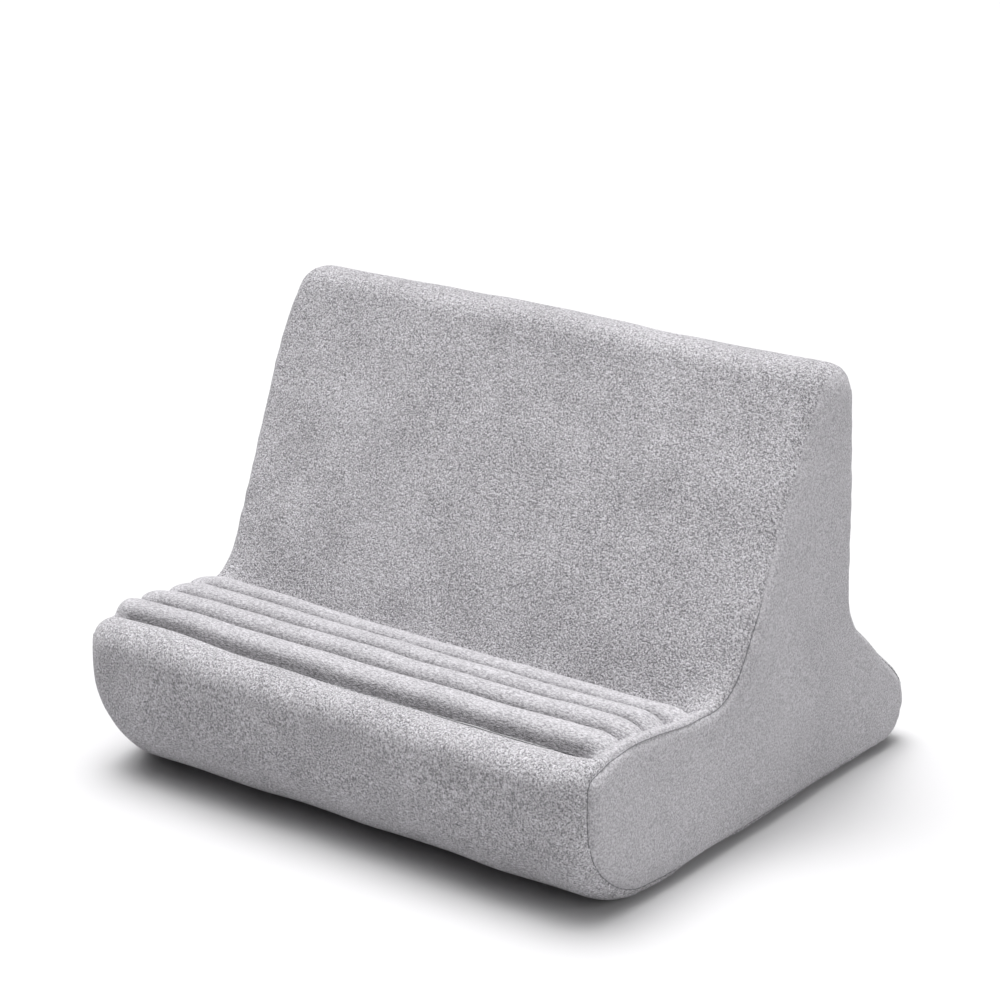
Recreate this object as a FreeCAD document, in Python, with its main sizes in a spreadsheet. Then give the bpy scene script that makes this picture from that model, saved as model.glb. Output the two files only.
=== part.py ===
"""Cushioned stand for a tablet: a foam block in a sewn plush cover with a zip at the back.

Frame: X runs across the stand (+X is the right side seen from the front), Y runs from the
nose to the rear foot, Z is up. The origin is on the floor, under the middle of the stand.
All sizes are in millimetres.

The block's section, seen from the +X side, is one closed outline of straight stretches and
round corners: base, rear foot, rear valley, rear face, top edge, backrest, crease, ribbed
ledge, lip and nose. Two blocks of that outline, one inside the other, give the cover its
thickness, and upright wedges cut the cover into the panels that are sewn together.
"""
import FreeCAD, Part
import math
import os
import Sketcher

doc = FreeCAD.newDocument("TabletStand")

# ---------------------------------------------------------------------------------------
# Driving dimensions, one spreadsheet row each: alias, value, what it is.
# ---------------------------------------------------------------------------------------
DIMENSIONS = [
    ("width", "280", "overall width across the side panels"),
    ("half_depth", "120", "origin to the front of the nose, and to the rear foot"),
    ("height", "191", "floor to the top edge"),
    ("nose_round", "41", "lower front corner"),
    ("lip_height", "70", "floor to the crest of the lip"),
    ("lip_round", "11", "upper front corner"),
    ("lip_back_y", "-105", "rear end of the lip's crest"),
    ("lip_back_round", "8", "rear corner of the lip"),
    ("groove_y", "-101.2", "first groove, between the lip and the ribbed ledge"),
    ("groove_height", "66.8", "floor to the first groove"),
    ("groove_round", "2", "hollow corner of the first groove"),
    ("ledge_angle", "6.3", "how far the ledge slopes down to the rear, in degrees"),
    ("ledge_end_y", "-36.8", "where the ledge turns down into the crease"),
    ("ledge_end_round", "7", "corner at the rear of the ledge"),
    ("crease_y", "-31.5", "crease between the ledge and the backrest"),
    ("crease_height", "55.5", "floor to the crease"),
    ("crease_round", "3", "hollow corner of the crease"),
    ("top_front_y", "45.5", "front corner of the top edge"),
    ("top_round", "13.5", "both corners of the top edge"),
    ("rear_y", "69", "upright rear face"),
    ("valley_height", "73.6", "corner between the rear face and the foot's slope"),
    ("valley_round", "26", "hollow corner above the rear foot"),
    ("foot_point_y", "150.8", "where the foot's slope would meet the floor"),
    ("foot_round", "19.2", "rear foot"),
    ("rim_round", "6", "rounding between the section and the side panels"),
    ("cover", "2", "thickness of the plush and its backing"),
    ("backing", "1", "thickness of the lining under the ribs"),
    ("seam_inset", "3", "side seam, measured in from the stand's side"),
    ("seam_thread", "0.8", "thickness of the sewn side seam"),
    ("base_seam_y", "-79", "seam between the nose panel and the base panel"),
    ("crease_seam_front", "0.5", "seam in the crease, in front of the crease's corner"),
    ("crease_seam_rise", "2.5", "seam in the crease, above the crease's corner"),
    ("top_seam_height", "176", "seam between the backrest and the rear panel"),
    ("rib_pitch", "15.6", "distance from one rib to the next"),
    ("rib_first", "9.8", "first groove to the middle of the first rib"),
    ("rib_height", "5.4", "rib's crest above the floor of the ledge"),
    ("rib_half_width", "7.3", "half of a rib's width at the floor of the ledge"),
    ("rib_straight", "116", "middle of the stand to where a rib starts to taper"),
    ("rib_taper", "16", "length of the pointed end of a rib"),
    ("stitch_length", "2.4", "visible length of one stitch"),
    ("stitch_pitch", "3.6", "distance from one stitch to the next"),
    ("stitch_width", "0.5", "width of the thread"),
    ("stitch_rise", "0.35", "height of the thread above the cloth"),
    ("first_row_gap", "0.7", "first rib to the row of stitches in front of it"),
    ("zip_row_gap", "2.5", "edge of the zip's opening to the row of stitches beside it"),
    ("zip_height", "101", "floor to the middle of the zip"),
    ("zip_window", "5.6", "half height of the opening between the panels' edges"),
    ("window_spare", "1.5", "opening between the panels beyond the zip's end stops"),
    ("zip_coil_half", "112", "half length of the coils"),
    ("zip_slit", "0.5", "middle of the zip to each coil and tape"),
    ("coil_width", "2.6", "one coil across the zip"),
    ("coil_rise", "2.2", "coil above its tape"),
    ("coil_round", "0.88", "outer edges of the coils"),
    ("tape_half", "15", "middle of the zip to a tape's outer edge"),
    ("tape_thick", "0.6", "thickness of the tapes"),
    ("tape_spare", "8", "tape beyond each end of the coils"),
    ("stop_length", "2.2", "each end stop along the zip"),
    ("stop_round", "0.55", "corners of the end stops"),
    ("slider_clear", "0.3", "clearance round the slider"),
    ("slider_park", "0.5", "parked slider to the zip's top stops"),
    ("slider_half", "7", "half length of the slider"),
    ("slider_rear", "4.6", "half width of the slider at its narrow end"),
    ("slider_front", "5.2", "half width of the slider at its wide end"),
    ("shoulder_back", "2", "wide end of the slider to its widest place"),
    ("snout_step", "1.6", "how much narrower the slider is at its very end"),
    ("slider_round", "1", "corners of the slider and of its bridge"),
    ("post_slack", "0.2", "clearance on each side of the slider's post"),
    ("post_length", "3.5", "length of the slider's post"),
    ("post_back", "0.8", "wide end of the slider to its post"),
    ("wall_inset", "0.1", "guide walls in from the slider's narrow edge"),
    ("wall_back", "2.5", "wide end of the slider to its guide walls"),
    ("wall_front", "1", "narrow end of the slider to its guide walls"),
    ("weld", "0.1", "how far the slider's parts run into its plates"),
    ("plate", "1.2", "thickness of the slider's two plates"),
    ("bridge_half_width", "1.1", "half width of the slider's bridge"),
    ("bridge_half_foot", "3.4", "half length of the bridge at its foot"),
    ("bridge_half_top", "2.3", "half length of the bridge at its top"),
    ("bridge_hole", "1.25", "radius of the hole that the pull hangs in"),
    ("bridge_wall", "0.7", "metal above that hole"),
    ("bridge_foot", "0.2", "slider's upper plate to that hole"),
    ("pull_length", "24", "hinge to the free end of the pull"),
    ("pull_half_width", "3.3", "half width of the pull"),
    ("pull_thick", "1.2", "thickness of the pull"),
    ("pull_bar", "0.65", "half width of the bar that hangs in the bridge"),
    ("pull_window", "4.3", "hinge to the far end of the pull's window"),
    ("pull_round", "2", "corners at the free end of the pull"),
    ("pull_bar_round", "0.5", "corners at the bar's end of the pull"),
    ("pull_waist", "0.4", "how much narrower the pull is at its bar, on each side"),
    ("pull_window_round", "0.4", "corners of the pull's window"),
    ("pull_edge", "0.2", "rounding of the pull's edges"),
    ("pull_hole", "1.5", "radius of the hole near the free end"),
    ("pull_hole_rim", "1.6", "metal between that hole and the free end"),
    ("label_left", "-112", "left edge of the care label"),
    ("label_width", "24", "care label across the stand"),
    ("label_top", "91.5", "upper edge of the care label"),
    ("label_drop", "34", "height of the care label"),
    ("label_thick", "0.5", "thickness of the folded care label"),
]

RIB_COUNT = 4
ROOMY = 20.0   # margin by which cutting bodies reach past the solids that they cut
DEEP = 15.0    # how far inside the foam the corners of the wedges lie
SKIN = 1.0     # how far a shallow cutting body reaches past a face
TOLERANCE = 1e-6

sheet = doc.addObject("Spreadsheet::Sheet", "Dims")
for row, (alias, text, meaning) in enumerate(DIMENSIONS, start=1):
    sheet.set(f"A{row}", meaning)
    sheet.set(f"B{row}", text)
    sheet.setAlias(f"B{row}", alias)
doc.recompute()


class Size:
    """A number together with the spreadsheet expression that gives it."""

    def __init__(self, value, text):
        self.value = value
        self.text = text

    def __add__(self, other):
        other = as_size(other)
        return Size(self.value + other.value, f"({self.text} + {other.text})")

    def __sub__(self, other):
        other = as_size(other)
        return Size(self.value - other.value, f"({self.text} - {other.text})")

    def __mul__(self, other):
        other = as_size(other)
        return Size(self.value * other.value, f"({self.text} * {other.text})")

    def __truediv__(self, other):
        other = as_size(other)
        return Size(self.value / other.value, f"({self.text} / {other.text})")

    def __neg__(self):
        return Size(-self.value, f"(0 - {self.text})")

    __radd__ = __add__
    __rmul__ = __mul__


def as_size(number):
    """Give a plain number the form of a Size."""
    if isinstance(number, Size):
        return number
    return Size(float(number), f"({float(number)})")


def dim(alias):
    """The Size of one spreadsheet row."""
    return Size(float(sheet.get(alias)), f"Dims.{alias}")


def tangent(angle):
    """The tangent of a Size in degrees."""
    return Size(math.tan(math.radians(angle.value)), f"tan({angle.text})")


def bind(item, name, size):
    """Set a property and tie it to the spreadsheet."""
    size = as_size(size)
    setattr(item, name, size.value)
    item.setExpression(name, size.text)


def place(item, x=0, y=0, z=0, tilt=None):
    """Put an object at x, y, z, turned about the X axis by tilt degrees."""
    spot = [as_size(x), as_size(y), as_size(z)]
    turn = FreeCAD.Rotation(FreeCAD.Vector(1, 0, 0), 0)
    if tilt is not None:
        turn = FreeCAD.Rotation(FreeCAD.Vector(1, 0, 0), tilt.value)
    item.Placement = FreeCAD.Placement(FreeCAD.Vector(*[size.value for size in spot]), turn)
    for letter, size in zip("xyz", spot):
        item.setExpression(f"Placement.Base.{letter}", size.text)
    if tilt is not None:
        item.setExpression("Placement.Rotation.Angle", tilt.text)


# ---------------------------------------------------------------------------------------
# Sketches
# ---------------------------------------------------------------------------------------
def new_body(name):
    body = doc.addObject("PartDesign::Body", name)
    body.Label = name
    return body


def new_sketch(body, name, role, lift=None):
    """A sketch on one of the body's own origin planes, moved along its normal by lift."""
    sketch = body.newObject("Sketcher::SketchObject", name)
    plane = next(item for item in body.Origin.OriginFeatures if item.Role == role)
    sketch.AttachmentSupport = (plane, [""])
    sketch.MapMode = "FlatFace"
    if lift is not None:
        sketch.AttachmentOffset = FreeCAD.Placement(
            FreeCAD.Vector(0, 0, lift.value), FreeCAD.Rotation())
        sketch.setExpression("AttachmentOffset.Base.z", lift.text)
    return sketch


def constrain(sketch, *spec, size=None):
    """Add one constraint, tied to the spreadsheet when it has a size."""
    if size is None:
        return sketch.addConstraint(Sketcher.Constraint(*spec))
    index = sketch.addConstraint(Sketcher.Constraint(*spec, size.value))
    sketch.setExpression(f"Constraints[{index}]", size.text)
    return index


def guide_point(sketch, x, y):
    """A construction point held at x, y."""
    point = sketch.addGeometry(Part.Point(FreeCAD.Vector(x.value, y.value, 0)), True)
    constrain(sketch, "DistanceX", -1, 1, point, 1, size=x)
    constrain(sketch, "DistanceY", -1, 1, point, 1, size=y)
    return point


def corner_layout(corners, inset):
    """Where each corner of an inset outline starts, turns and ends, as plain numbers."""
    spots = [FreeCAD.Vector(x.value, y.value, 0) for x, y, _ in corners]
    count = len(spots)
    along = [(spots[(i + 1) % count] - spots[i]).normalize() for i in range(count)]
    inward = [FreeCAD.Vector(-run.y, run.x, 0) for run in along]
    layout = []
    for i, spot in enumerate(spots):
        before = along[i - 1]
        after = along[i]
        swing = before.cross(after).z
        side = math.copysign(1.0, swing)
        bisect = inward[i - 1] + inward[i]
        tip = spot + bisect * (inset / (1 + inward[i - 1].dot(inward[i])))
        radius = corners[i][2].value - side * inset if corners[i][2] is not None else 0.0
        reach = radius * math.tan(before.getAngle(after) / 2)
        layout.append({
            "side": side,
            "start": tip - before * reach,
            "end": tip + after * reach,
            "centre": tip - before * reach + inward[i - 1] * (side * radius),
            "radius": radius,
        })
    return layout


def draw_outline(sketch, corners, inset=None):
    """Draw a closed outline, anticlockwise, through corners given as (x, y, radius or None).

    The straight sides lie inset inside the corner points. A rounded corner keeps its
    centre when the outline is inset, so its radius shrinks if it stands out and grows if
    it is hollow.
    """
    step = as_size(0) if inset is None else inset
    layout = corner_layout(corners, step.value)
    count = len(corners)
    sides = []
    for i, spot in enumerate(layout):
        target = layout[(i + 1) % count]["start"]
        sides.append(sketch.addGeometry(Part.LineSegment(spot["end"], target), False))
    for i, (spot, (x, y, radius)) in enumerate(zip(layout, corners)):
        if radius is None:
            constrain(sketch, "Coincident", sides[i - 1], 2, sides[i], 1)
        else:
            first, last = (1, 2) if spot["side"] > 0 else (2, 1)
            ends = [spot["start"], spot["end"]]
            angles = [math.atan2((end - spot["centre"]).y, (end - spot["centre"]).x)
                      for end in ends]
            if spot["side"] < 0:
                angles.reverse()
            if angles[1] < angles[0]:
                angles[1] += 2 * math.pi
            circle = Part.Circle(spot["centre"], FreeCAD.Vector(0, 0, 1), spot["radius"])
            arc = sketch.addGeometry(Part.ArcOfCircle(circle, *angles), False)
            constrain(sketch, "Tangent", sides[i - 1], 2, arc, first)
            constrain(sketch, "Tangent", sides[i], 1, arc, last)
            rounding = radius if inset is None else radius - spot["side"] * step
            constrain(sketch, "Radius", arc, size=rounding)
        point = guide_point(sketch, x, y)
        for side in (sides[i - 1], sides[i]):
            if inset is None:
                constrain(sketch, "PointOnObject", point, 1, side)
            else:
                hold_distance(sketch, point, side, inset)


def hold_distance(sketch, point, side, inset):
    """Hold a side at a distance from a point, whichever way the inset runs."""
    gap = inset if inset.value > 0 else -inset
    constrain(sketch, "Distance", point, 1, side, size=gap)


# ---------------------------------------------------------------------------------------
# Features
# ---------------------------------------------------------------------------------------
def pad(body, sketch, length, both_ways=False, backwards=False):
    feature = body.newObject("PartDesign::Pad", f"{body.Name}_pad")
    feature.Profile = sketch
    bind(feature, "Length", length)
    feature.SideType = "Symmetric" if both_ways else "One side"
    feature.Reversed = backwards
    doc.recompute()
    return feature


def pocket_through(body, sketch):
    """Cut a sketch right through the body, both ways."""
    before = body.Shape.Volume
    feature = body.newObject("PartDesign::Pocket", f"{body.Name}_pocket")
    feature.Profile = sketch
    feature.Type = "ThroughAll"
    feature.SideType = "Symmetric"
    doc.recompute()
    if body.Shape.Volume > before - TOLERANCE:
        raise RuntimeError(f"{body.Name}: the pocket cut nothing")
    return feature


def round_edges(body, base, radius, wanted):
    """Round the edges of base for which wanted(edge) is true."""
    names = [f"Edge{number}" for number, edge in enumerate(base.Shape.Edges, start=1)
             if wanted(edge)]
    feature = body.newObject("PartDesign::Fillet", f"{body.Name}_fillet")
    feature.Base = (base, names)
    bind(feature, "Radius", radius)
    doc.recompute()
    return feature


def on_end_face(half):
    """A test for edges that lie in either end face of a body that runs along X."""
    def test(edge):
        bounds = edge.BoundBox
        return bounds.XLength < TOLERANCE and abs(abs(bounds.XMin) - half) < TOLERANCE
    return test


def box(name, low, high):
    """A Part::Box from its low corner to its high corner, each an (x, y, z) of Sizes."""
    block = doc.addObject("Part::Box", name)
    for side, start, end in zip(("Length", "Width", "Height"), low, high):
        bind(block, side, as_size(end) - as_size(start))
    place(block, *low)
    return block


def boolean(kind, name, base, tool):
    result = doc.addObject(f"Part::{kind}", name)
    result.Base = base
    result.Tool = tool
    return result


def gather(kind, name, members):
    """A Part::MultiFuse, Part::MultiCommon or Part::Compound of several objects."""
    result = doc.addObject(f"Part::{kind}", name)
    if kind == "Compound":
        result.Links = members
    else:
        result.Shapes = members
    return result


sub_parts = {}


def keep(name, item):
    """Name an object as one finished piece of the stand."""
    item.Label = name
    sub_parts[name] = item
    return item


# ---------------------------------------------------------------------------------------
# Sizes that several pieces share
# ---------------------------------------------------------------------------------------
half_width = dim("width") / 2
cover = dim("cover")
ledge_slope = tangent(dim("ledge_angle"))
seam_x = half_width - dim("seam_inset")
seam_inner_x = seam_x - dim("seam_thread") / 2
seam_outer_x = seam_x + dim("seam_thread") / 2
beyond = half_width + ROOMY


def ledge_floor(y):
    """Height of the ledge's floor, between its ribs, at y."""
    return dim("groove_height") - ledge_slope * (y - dim("groove_y"))


SECTION = [
    (-dim("half_depth"), as_size(0), dim("nose_round")),
    (dim("foot_point_y"), as_size(0), dim("foot_round")),
    (dim("rear_y"), dim("valley_height"), dim("valley_round")),
    (dim("rear_y"), dim("height"), dim("top_round")),
    (dim("top_front_y"), dim("height"), dim("top_round")),
    (dim("crease_y"), dim("crease_height"), dim("crease_round")),
    (dim("ledge_end_y"), ledge_floor(dim("ledge_end_y")), dim("ledge_end_round")),
    (dim("groove_y"), dim("groove_height"), dim("groove_round")),
    (dim("lip_back_y"), dim("lip_height"), dim("lip_back_round")),
    (-dim("half_depth"), dim("lip_height"), dim("lip_round")),
]


# ---------------------------------------------------------------------------------------
# The two blocks that the cover lies between
# ---------------------------------------------------------------------------------------
def section_block(name, inset=None, rim=None):
    """The stand's section run across its width, inset on all sides, with a rounded rim."""
    body = new_body(name)
    sketch = new_sketch(body, f"{name}_section", "YZ_Plane")
    draw_outline(sketch, SECTION, inset)
    reach = half_width if inset is None else half_width - inset
    block = pad(body, sketch, reach * 2, both_ways=True)
    if rim is not None:
        round_edges(body, block, rim, on_end_face(reach.value))
    return body


outer_block = section_block("outer_block", None, dim("rim_round"))
inner_block = section_block("inner_block", cover, dim("rim_round") - cover)
cover_shell = boolean("Cut", "cover_shell", outer_block, inner_block)


def wedge(name, corners, half_length):
    """An upright prism along X, used to cut one panel out of the cover."""
    body = new_body(name)
    sketch = new_sketch(body, f"{name}_section", "YZ_Plane")
    draw_outline(sketch, [(as_size(y), as_size(z), None) for y, z in corners])
    pad(body, sketch, half_length * 2, both_ways=True)
    return body


# ---------------------------------------------------------------------------------------
# Panels of the cover. Only the two points where a wedge crosses the cover are seams: its
# other corners lie in the open air or in the middle of the foam.
# ---------------------------------------------------------------------------------------
AIR_FRONT = -dim("half_depth") - ROOMY
AIR_REAR = dim("half_depth") + ROOMY
AIR_TOP = dim("height") + ROOMY
AIR_BELOW = as_size(-ROOMY)
LEDGE_TOP = dim("lip_height") + ROOMY
DEEP_LEDGE = dim("crease_height") - DEEP / 2
DEEP_FOAM = as_size(DEEP)
NOTCH_Y = dim("crease_y") - DEEP
FOAM_MIDDLE_Y = dim("rear_y") - DEEP
CREASE_SEAM_Y = dim("crease_y") - dim("crease_seam_front")
CREASE_SEAM_TOP = dim("crease_height") + dim("crease_seam_rise")
FOOT_SEAM_HEIGHT = dim("foot_round")
FOAM_FOOT_Y = dim("half_depth") - ROOMY


def panel(name, corners):
    """Cut a panel that runs from side seam to side seam out of the cover."""
    cutter = wedge(f"{name}_wedge", corners, seam_inner_x)
    return boolean("Common", f"{name}_sheet", cover_shell, cutter)


def nose_panel():
    keep("nose_panel", panel("nose_panel", [
        (AIR_FRONT, AIR_BELOW),
        (dim("base_seam_y"), AIR_BELOW),
        (dim("base_seam_y"), DEEP_FOAM),
        (dim("groove_y"), DEEP_LEDGE),
        (dim("groove_y"), LEDGE_TOP),
        (AIR_FRONT, LEDGE_TOP),
    ]))


def backrest_panel():
    keep("backrest_panel", panel("backrest_panel", [
        (CREASE_SEAM_Y, DEEP_LEDGE),
        (as_size(0), DEEP_LEDGE),
        (FOAM_MIDDLE_Y, dim("top_seam_height")),
        (AIR_REAR, dim("top_seam_height")),
        (AIR_REAR, AIR_TOP),
        (NOTCH_Y, AIR_TOP),
        (NOTCH_Y, LEDGE_TOP),
        (CREASE_SEAM_Y, CREASE_SEAM_TOP),
    ]))


def base_panel():
    keep("base_panel", panel("base_panel", [
        (dim("base_seam_y"), AIR_BELOW),
        (AIR_REAR, AIR_BELOW),
        (AIR_REAR, FOOT_SEAM_HEIGHT),
        (FOAM_FOOT_Y, FOOT_SEAM_HEIGHT),
        (dim("base_seam_y"), DEEP_FOAM),
    ]))


def rear_panels():
    """The two rear panels meet at the zip's height and part round the zip's coils."""
    window_half = dim("zip_coil_half") + dim("stop_length") + dim("window_spare")
    window = box(
        "zip_window_box",
        (-window_half, dim("rear_y") - cover - SKIN, dim("zip_height") - dim("zip_window")),
        (window_half, dim("rear_y") + SKIN, dim("zip_height") + dim("zip_window")),
    )
    upper = panel("rear_upper_panel", [
        (FOAM_MIDDLE_Y, dim("zip_height")),
        (AIR_REAR, dim("zip_height")),
        (AIR_REAR, dim("top_seam_height")),
        (FOAM_MIDDLE_Y, dim("top_seam_height")),
    ])
    lower = panel("rear_lower_panel", [
        (FOAM_FOOT_Y, FOOT_SEAM_HEIGHT),
        (AIR_REAR, FOOT_SEAM_HEIGHT),
        (AIR_REAR, dim("zip_height")),
        (FOAM_MIDDLE_Y, dim("zip_height")),
        (FOAM_MIDDLE_Y, dim("valley_height") - DEEP),
    ])
    keep("rear_upper_panel", boolean("Cut", "rear_upper_open", upper, window))
    keep("rear_lower_panel", boolean("Cut", "rear_lower_open", lower, window))


def side_pieces():
    """Each side has a panel and, inside it, the sewn seam that joins it to the others."""
    for name, sign in (("left", -1), ("right", 1)):
        for piece, near, far in (
            ("side_seam", seam_inner_x, seam_outer_x),
            ("side_panel", seam_outer_x, beyond),
        ):
            low_x, high_x = (near, far) if sign > 0 else (-far, -near)
            slab = box(
                f"{piece}_{name}_slab",
                (low_x, AIR_FRONT, AIR_BELOW),
                (high_x, AIR_REAR, AIR_TOP),
            )
            cut = boolean("Common", f"{piece}_{name}_cut", cover_shell, slab)
            keep(f"{piece}_{name}", cut)


# ---------------------------------------------------------------------------------------
# The ribbed ledge
# ---------------------------------------------------------------------------------------
rib_half = dim("rib_half_width")
rib_radius = (rib_half * rib_half + dim("rib_height") * dim("rib_height")) / (dim("rib_height") * 2)
rib_depth = rib_radius - dim("rib_height")


def rib_y(number):
    return dim("groove_y") + dim("rib_first") + dim("rib_pitch") * number


def rib_rod(name, number, shrink=None):
    """A rod along X with pointed ends, whose axis lies under the ledge's floor."""
    radius = rib_radius if shrink is None else rib_radius - shrink
    straight = dim("rib_straight")
    taper = dim("rib_taper") if shrink is None else dim("rib_taper") - shrink
    swing = (taper * taper + radius * radius) / (radius * 2)
    body = new_body(name)
    sketch = new_sketch(body, f"{name}_profile", "XY_Plane")
    crest = FreeCAD.Vector(straight.value, radius.value, 0)
    tip = FreeCAD.Vector(straight.value + taper.value, 0, 0)
    start = FreeCAD.Vector(-straight.value, radius.value, 0)
    tail = FreeCAD.Vector(-straight.value - taper.value, 0, 0)
    hub = radius.value - swing.value
    right_start = math.atan2(tip.y - hub, tip.x - crest.x)
    lines = [
        Part.LineSegment(tail, tip),
        Part.ArcOfCircle(Part.Circle(FreeCAD.Vector(crest.x, hub, 0), FreeCAD.Vector(0, 0, 1),
                                     swing.value), right_start, math.pi / 2),
        Part.LineSegment(crest, start),
        Part.ArcOfCircle(Part.Circle(FreeCAD.Vector(start.x, hub, 0), FreeCAD.Vector(0, 0, 1),
                                     swing.value), math.pi / 2, math.pi - right_start),
    ]
    axis, right, top, left = [sketch.addGeometry(line, False) for line in lines]
    constrain(sketch, "PointOnObject", axis, 1, -1)
    constrain(sketch, "PointOnObject", axis, 2, -1)
    constrain(sketch, "Coincident", axis, 2, right, 1)
    constrain(sketch, "Tangent", top, 1, right, 2)
    constrain(sketch, "Tangent", top, 2, left, 1)
    constrain(sketch, "Coincident", left, 2, axis, 1)
    constrain(sketch, "Horizontal", top)
    constrain(sketch, "DistanceX", -1, 1, top, 1, size=straight)
    constrain(sketch, "DistanceX", -1, 1, top, 2, size=-straight)
    constrain(sketch, "DistanceY", -1, 1, top, 1, size=radius)
    constrain(sketch, "DistanceX", -1, 1, axis, 2, size=straight + taper)
    constrain(sketch, "DistanceX", -1, 1, axis, 1, size=-straight - taper)
    turned = body.newObject("PartDesign::Revolution", f"{name}_turned")
    turned.Profile = sketch
    turned.ReferenceAxis = (sketch, ["H_Axis"])
    turned.Angle = 360
    y = rib_y(number)
    place(body, 0, y, ledge_floor(y) - rib_depth)
    return body


def above_backing():
    """The space above the lining's upper face, where ribs and their fillers lie."""
    front = dim("groove_y") - SKIN
    rear = dim("ledge_end_y") + SKIN
    rise = dim("rib_height") * 2
    return wedge("rib_space", [
        (front, ledge_floor(front) - cover),
        (rear, ledge_floor(rear) - cover),
        (rear, ledge_floor(rear) + rise),
        (front, ledge_floor(front) + rise),
    ], beyond)


def ledge():
    """Lining, fillers and the ribbed panel. Returns the lining, which the foam makes room for."""
    space = above_backing()
    corners = [
        (dim("groove_y"), DEEP_LEDGE),
        (CREASE_SEAM_Y, DEEP_LEDGE),
        (CREASE_SEAM_Y, CREASE_SEAM_TOP),
        (NOTCH_Y, LEDGE_TOP),
        (dim("groove_y"), LEDGE_TOP),
    ]
    sheet_part = panel("ledge_panel", corners)
    ribs = []
    fillers = []
    for number in range(RIB_COUNT):
        rod = rib_rod(f"rib_rod_{number + 1}", number)
        ribs.append(boolean("Common", f"rib_bump_{number + 1}", rod, space))
        core = rib_rod(f"filler_rod_{number + 1}", number, cover)
        filler = boolean("Common", f"filler_{number + 1}", core, space)
        fillers.append(keep(f"rib_filler_{number + 1}", filler))
    bumpy = gather("MultiFuse", "ribbed_sheet", [sheet_part] + ribs)
    all_fillers = gather("Compound", "all_fillers", fillers)
    keep("ledge_panel", boolean("Cut", "ledge_hollow", bumpy, all_fillers))

    below = section_block("lining_block", cover + dim("backing"))
    lining_sheet = boolean("Cut", "lining_sheet", inner_block, below)
    lining_half = dim("rib_straight") + dim("rib_taper")
    lining_rear = dim("ledge_end_y") - cover
    cutter = wedge("lining_wedge", [
        (dim("groove_y"), DEEP_LEDGE),
        (lining_rear, DEEP_LEDGE),
        (lining_rear, LEDGE_TOP),
        (dim("groove_y"), LEDGE_TOP),
    ], lining_half)
    return keep("ledge_backing", boolean("Common", "lining_cut", lining_sheet, cutter))


# ---------------------------------------------------------------------------------------
# Stitches
# ---------------------------------------------------------------------------------------
def stitch_row(name, half_length):
    """A row of stitches along X, lying on the body's own XY plane."""
    count = 2 * int(half_length.value / float(sheet.get("stitch_pitch"))) + 1
    body = new_body(name)
    body.AllowCompound = True
    sketch = new_sketch(body, f"{name}_thread", "XY_Plane")
    half = dim("stitch_width") / 2
    reach = dim("stitch_pitch") * ((count - 1) / 2)
    low_x = -reach - dim("stitch_length") / 2
    high_x = low_x + dim("stitch_length")
    draw_outline(sketch, [
        (low_x, -half, None),
        (high_x, -half, None),
        (high_x, half, None),
        (low_x, half, None),
    ])
    first = pad(body, sketch, dim("stitch_rise"))
    row = body.newObject("PartDesign::LinearPattern", f"{name}_pattern")
    row.Originals = [first]
    row.Direction = (sketch, ["H_Axis"])
    row.Mode = "Extent"
    bind(row, "Length", reach * 2)
    row.Occurrences = count
    body.Tip = row
    return body


def channel_stitching():
    """A row of stitches in each groove in front of a rib."""
    rows = []
    for number in range(RIB_COUNT):
        row = stitch_row(f"channel_row_{number + 1}", dim("rib_straight"))
        y = rib_y(number) - dim("rib_pitch") / 2
        if number == 0:
            y = rib_y(0) - rib_half - dim("first_row_gap")
        place(row, 0, y, ledge_floor(y), tilt=-dim("ledge_angle"))
        rows.append(row)
    keep("channel_stitching", gather("Compound", "channel_rows", rows))


def zip_stitching():
    """One row of stitches on each side of the zip, holding the panels to its tapes."""
    rows = []
    for name, sign in (("upper", 1), ("lower", -1)):
        row = stitch_row(f"zip_row_{name}", dim("zip_coil_half"))
        z = dim("zip_height") + (dim("zip_window") + dim("zip_row_gap")) * sign
        place(row, 0, dim("rear_y"), z, tilt=as_size(-90))
        rows.append(row)
    keep("zip_stitching", gather("Compound", "zip_rows", rows))


# ---------------------------------------------------------------------------------------
# The zip. Its middle line runs along X at zip_height, on the outer faces of its tapes.
# ---------------------------------------------------------------------------------------
tape_face_y = dim("rear_y") - cover
tape_half_length = dim("zip_coil_half") + dim("tape_spare")
slider_x = dim("zip_coil_half") - dim("slider_half") - dim("slider_park")
top_plate_low = dim("coil_rise") + dim("slider_clear")
top_plate_high = top_plate_low + dim("plate")
bottom_plate_high = -dim("tape_thick") - dim("slider_clear")
bottom_plate_low = bottom_plate_high - dim("plate")
hinge_lift = top_plate_high + dim("bridge_hole") + dim("bridge_foot")


def zip_tapes_and_coils():
    for name, sign in (("upper", 1), ("lower", -1)):
        near = dim("zip_slit")
        far = dim("tape_half")
        low_z, high_z = (near, far) if sign > 0 else (-far, -near)
        tape = box(
            f"tape_{name}",
            (-tape_half_length, tape_face_y - dim("tape_thick"), dim("zip_height") + low_z),
            (tape_half_length, tape_face_y, dim("zip_height") + high_z),
        )
        keep(f"zip_tape_{name}", tape)

        coil = new_body(f"coil_{name}")
        sketch = new_sketch(coil, f"coil_{name}_section", "YZ_Plane")
        inner = near * sign
        outer = (near + dim("coil_width")) * sign
        low_z, high_z = (inner, outer) if sign > 0 else (outer, inner)
        rounding = dim("coil_round")
        draw_outline(sketch, [
            (as_size(0), low_z, None),
            (dim("coil_rise"), low_z, rounding),
            (dim("coil_rise"), high_z, rounding),
            (as_size(0), high_z, None),
        ])
        pad(coil, sketch, dim("zip_coil_half") * 2, both_ways=True)
        place(coil, 0, tape_face_y, dim("zip_height"))
        keep(f"zip_coil_{name}", coil)


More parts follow.
